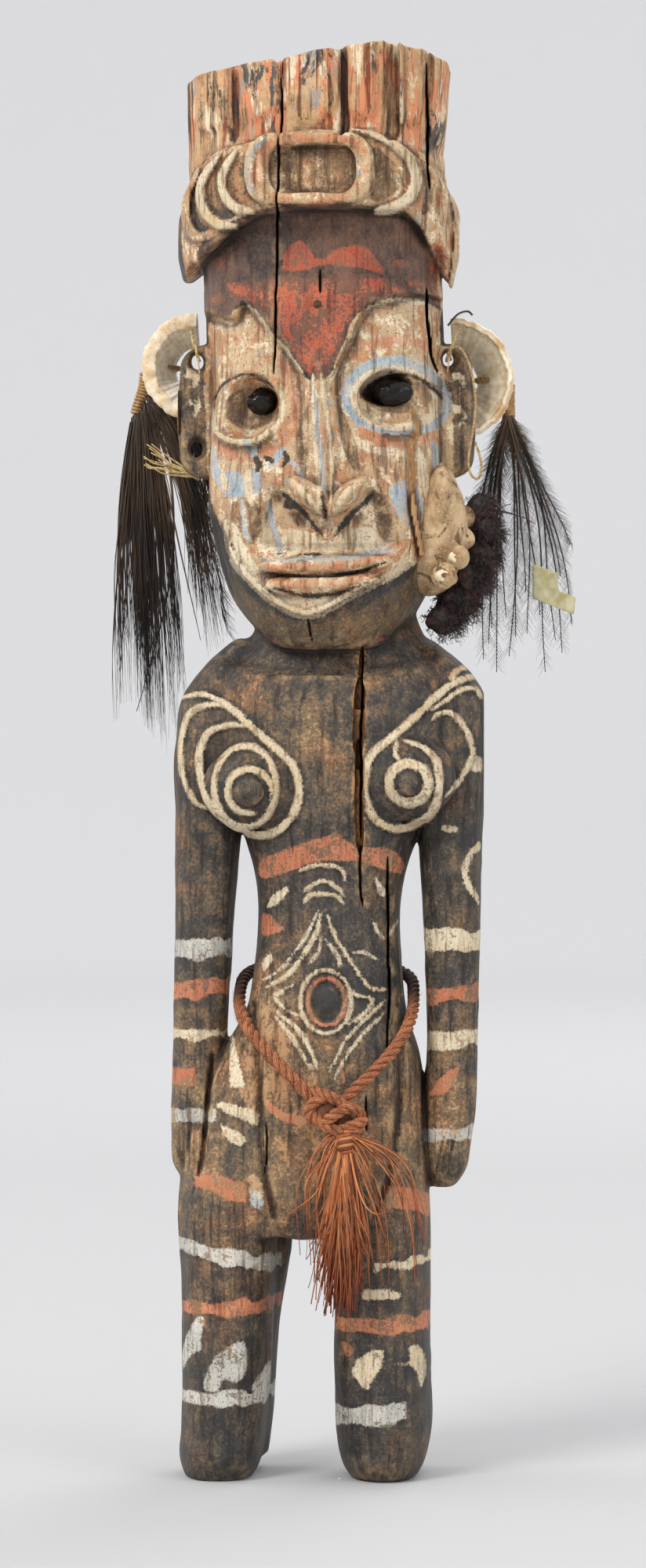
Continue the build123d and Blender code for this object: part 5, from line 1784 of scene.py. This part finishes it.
def make_fur():
    """Short curly hairs on a dark hide behind the jaw."""
    pads = [((98, -8, 600), (9, 8, 10)), ((101, -10, 586), (10, 9, 10)), ((98, -11, 571), (11, 9, 11)),
            ((92, -13, 556), (13, 11, 12)), ((84, -16, 543), (13, 11, 11)), ((76, -20, 531), (11, 10, 9))]
    hides = [lump(centre, radii, rough=0.12, seed=30 + i) for i, (centre, radii) in enumerate(pads)]
    starts, ways, tips = [], [], []
    for (centre, radii), count in zip(pads, (200, 260, 300, 320, 300, 240)):
        for _ in range(count):
            way = unit(random.normal(0, 1, 3) * (1, 1.2, 1) + (0.55, -0.3, -0.1))
            root = np.array(centre) + way * radii * 0.92
            reach = random.uniform(4, 8.5)
            starts.append(root)
            ways.append(way * reach * 0.7)
            tips.append(root + way * reach * 0.55 + (random.uniform(-2, 4), random.uniform(-3, 3),
                                                   -reach * random.uniform(0.1, 0.9)))
    hair = strands(starts, ways, tips, 0.28, steps=11, sides=3, wave=1.5, waves=1.8, taper=0.35)
    shader = Shader("dark_fur", roughness=0.6)
    colour = shader.mix(shader.attribute("strand"), "1a1211", "43302c")
    colour = shader.grade(shader.noise(90, 2), 0.5, 0.7, colour, "5c3f3a")
    add_piece("jaw_hair", joined(*hides, hair), shader.finish(colour), "figure", "fur", "jaw_fur")


def make_quill():
    line = smooth_line(
        [(100, -7, 602), (108, -5.8, 599.6), (118, -4.6, 597), (126, -4, 594.4), (132, -4, 591)], spacing=0.8)
    shaft = tubes(line, np.linspace(0.95, 0.22, len(line)), 10)
    branch = tubes(smooth_line([(109, -6, 599.4), (113, -8, 602), (117, -9, 603)], spacing=0.8), 0.28, 6)
    shader = Shader("horn_quill", roughness=0.4)
    colour = shader.grade(shader.attribute("along"), 0.1, 0.8, "1c1410", "4a382b")
    add_piece("jaw_quill", joined(shaft, branch), shader.finish(colour), "figure", "quill", "jaw_quill")


make_jaw()
make_fur()
make_quill()


# ---------------------------------------------------------------- eyes, peg and ear straw
def make_eyes():
    shader = Shader("dark_resin", roughness=0.2, Specular_IOR_Level=0.35)
    colour = shader.grade(shader.noise(260, 3), 0.5, 0.8, "070505", "1d130d")
    shader.bump(shader.noise(220, 3), 0.6, 0.5)
    glossy = shader.finish(colour)
    left = joined(lump((-35.5, -47, 664), (8.4, 6, 7.4), rough=0.14, seed=3),
                  lump((-31, -48.5, 666), (4.4, 4, 3.6), rough=0.18, seed=4))
    add_piece("left_eye", left, glossy, "figure", "dark_resin", "left_eye_inlay")
    right = joined(lump((45, -48, 669), (12.4, 7.0, 8.4), -4, rough=0.07, seed=5, rings=40, sides=60),
                   lump((40, -51, 670), (6, 5, 5.4), rough=0.08, seed=6))
    add_piece("right_eye", right, glossy, "figure", "dark_resin", "right_eye_inlay")


def make_peg():
    line = np.array([(0.5, y, 721) for y in np.linspace(-77.6, -64, 16)])
    radii = np.full(len(line), 2.5)
    radii[:3] = (0.7, 1.9, 2.4)
    shader = Shader("peg_wood", roughness=0.7)
    colour = shader.grade(shader.noise(800, 3), 0.35, 0.65, "2a1b12", "6a4a30")
    add_piece("forehead_peg", tubes(line, radii, 18, ridges=6, ridge_height=0.06), shader.finish(colour),
              "figure", "dark_wood", "forehead_peg")


def make_ear_straw():
    count = 13
    roots = np.stack([-79 + random.uniform(-1, 1, count), 4.5 + random.uniform(-1, 1, count),
                      622 + random.uniform(-1.2, 1.2, count)], 1)
    ends = np.stack([-104 - random.uniform(0, 9, count), 2 + random.uniform(-3, 3, count),
                     random.uniform(626, 643, count)], 1)
    ways = np.stack([-random.uniform(8, 16, count), np.zeros(count), random.uniform(-3, 6, count)], 1)
    blades = strands(roots, ways, ends, 0.75, steps=14, sides=6, wave=0.8, taper=0.5)
    wrapped = smooth_line([(-77, 5, 621), (-83, 4.2, 624.5)], spacing=0.3)
    wrap = tubes(twisted(wrapped, 1, 2.2, 1.5)[0], 0.55, 7)
    add_piece("ear_straw", joined(blades, wrap), STRAW, "figure", "straw", "left_ear_fibres")


make_eyes()
make_peg()
make_ear_straw()
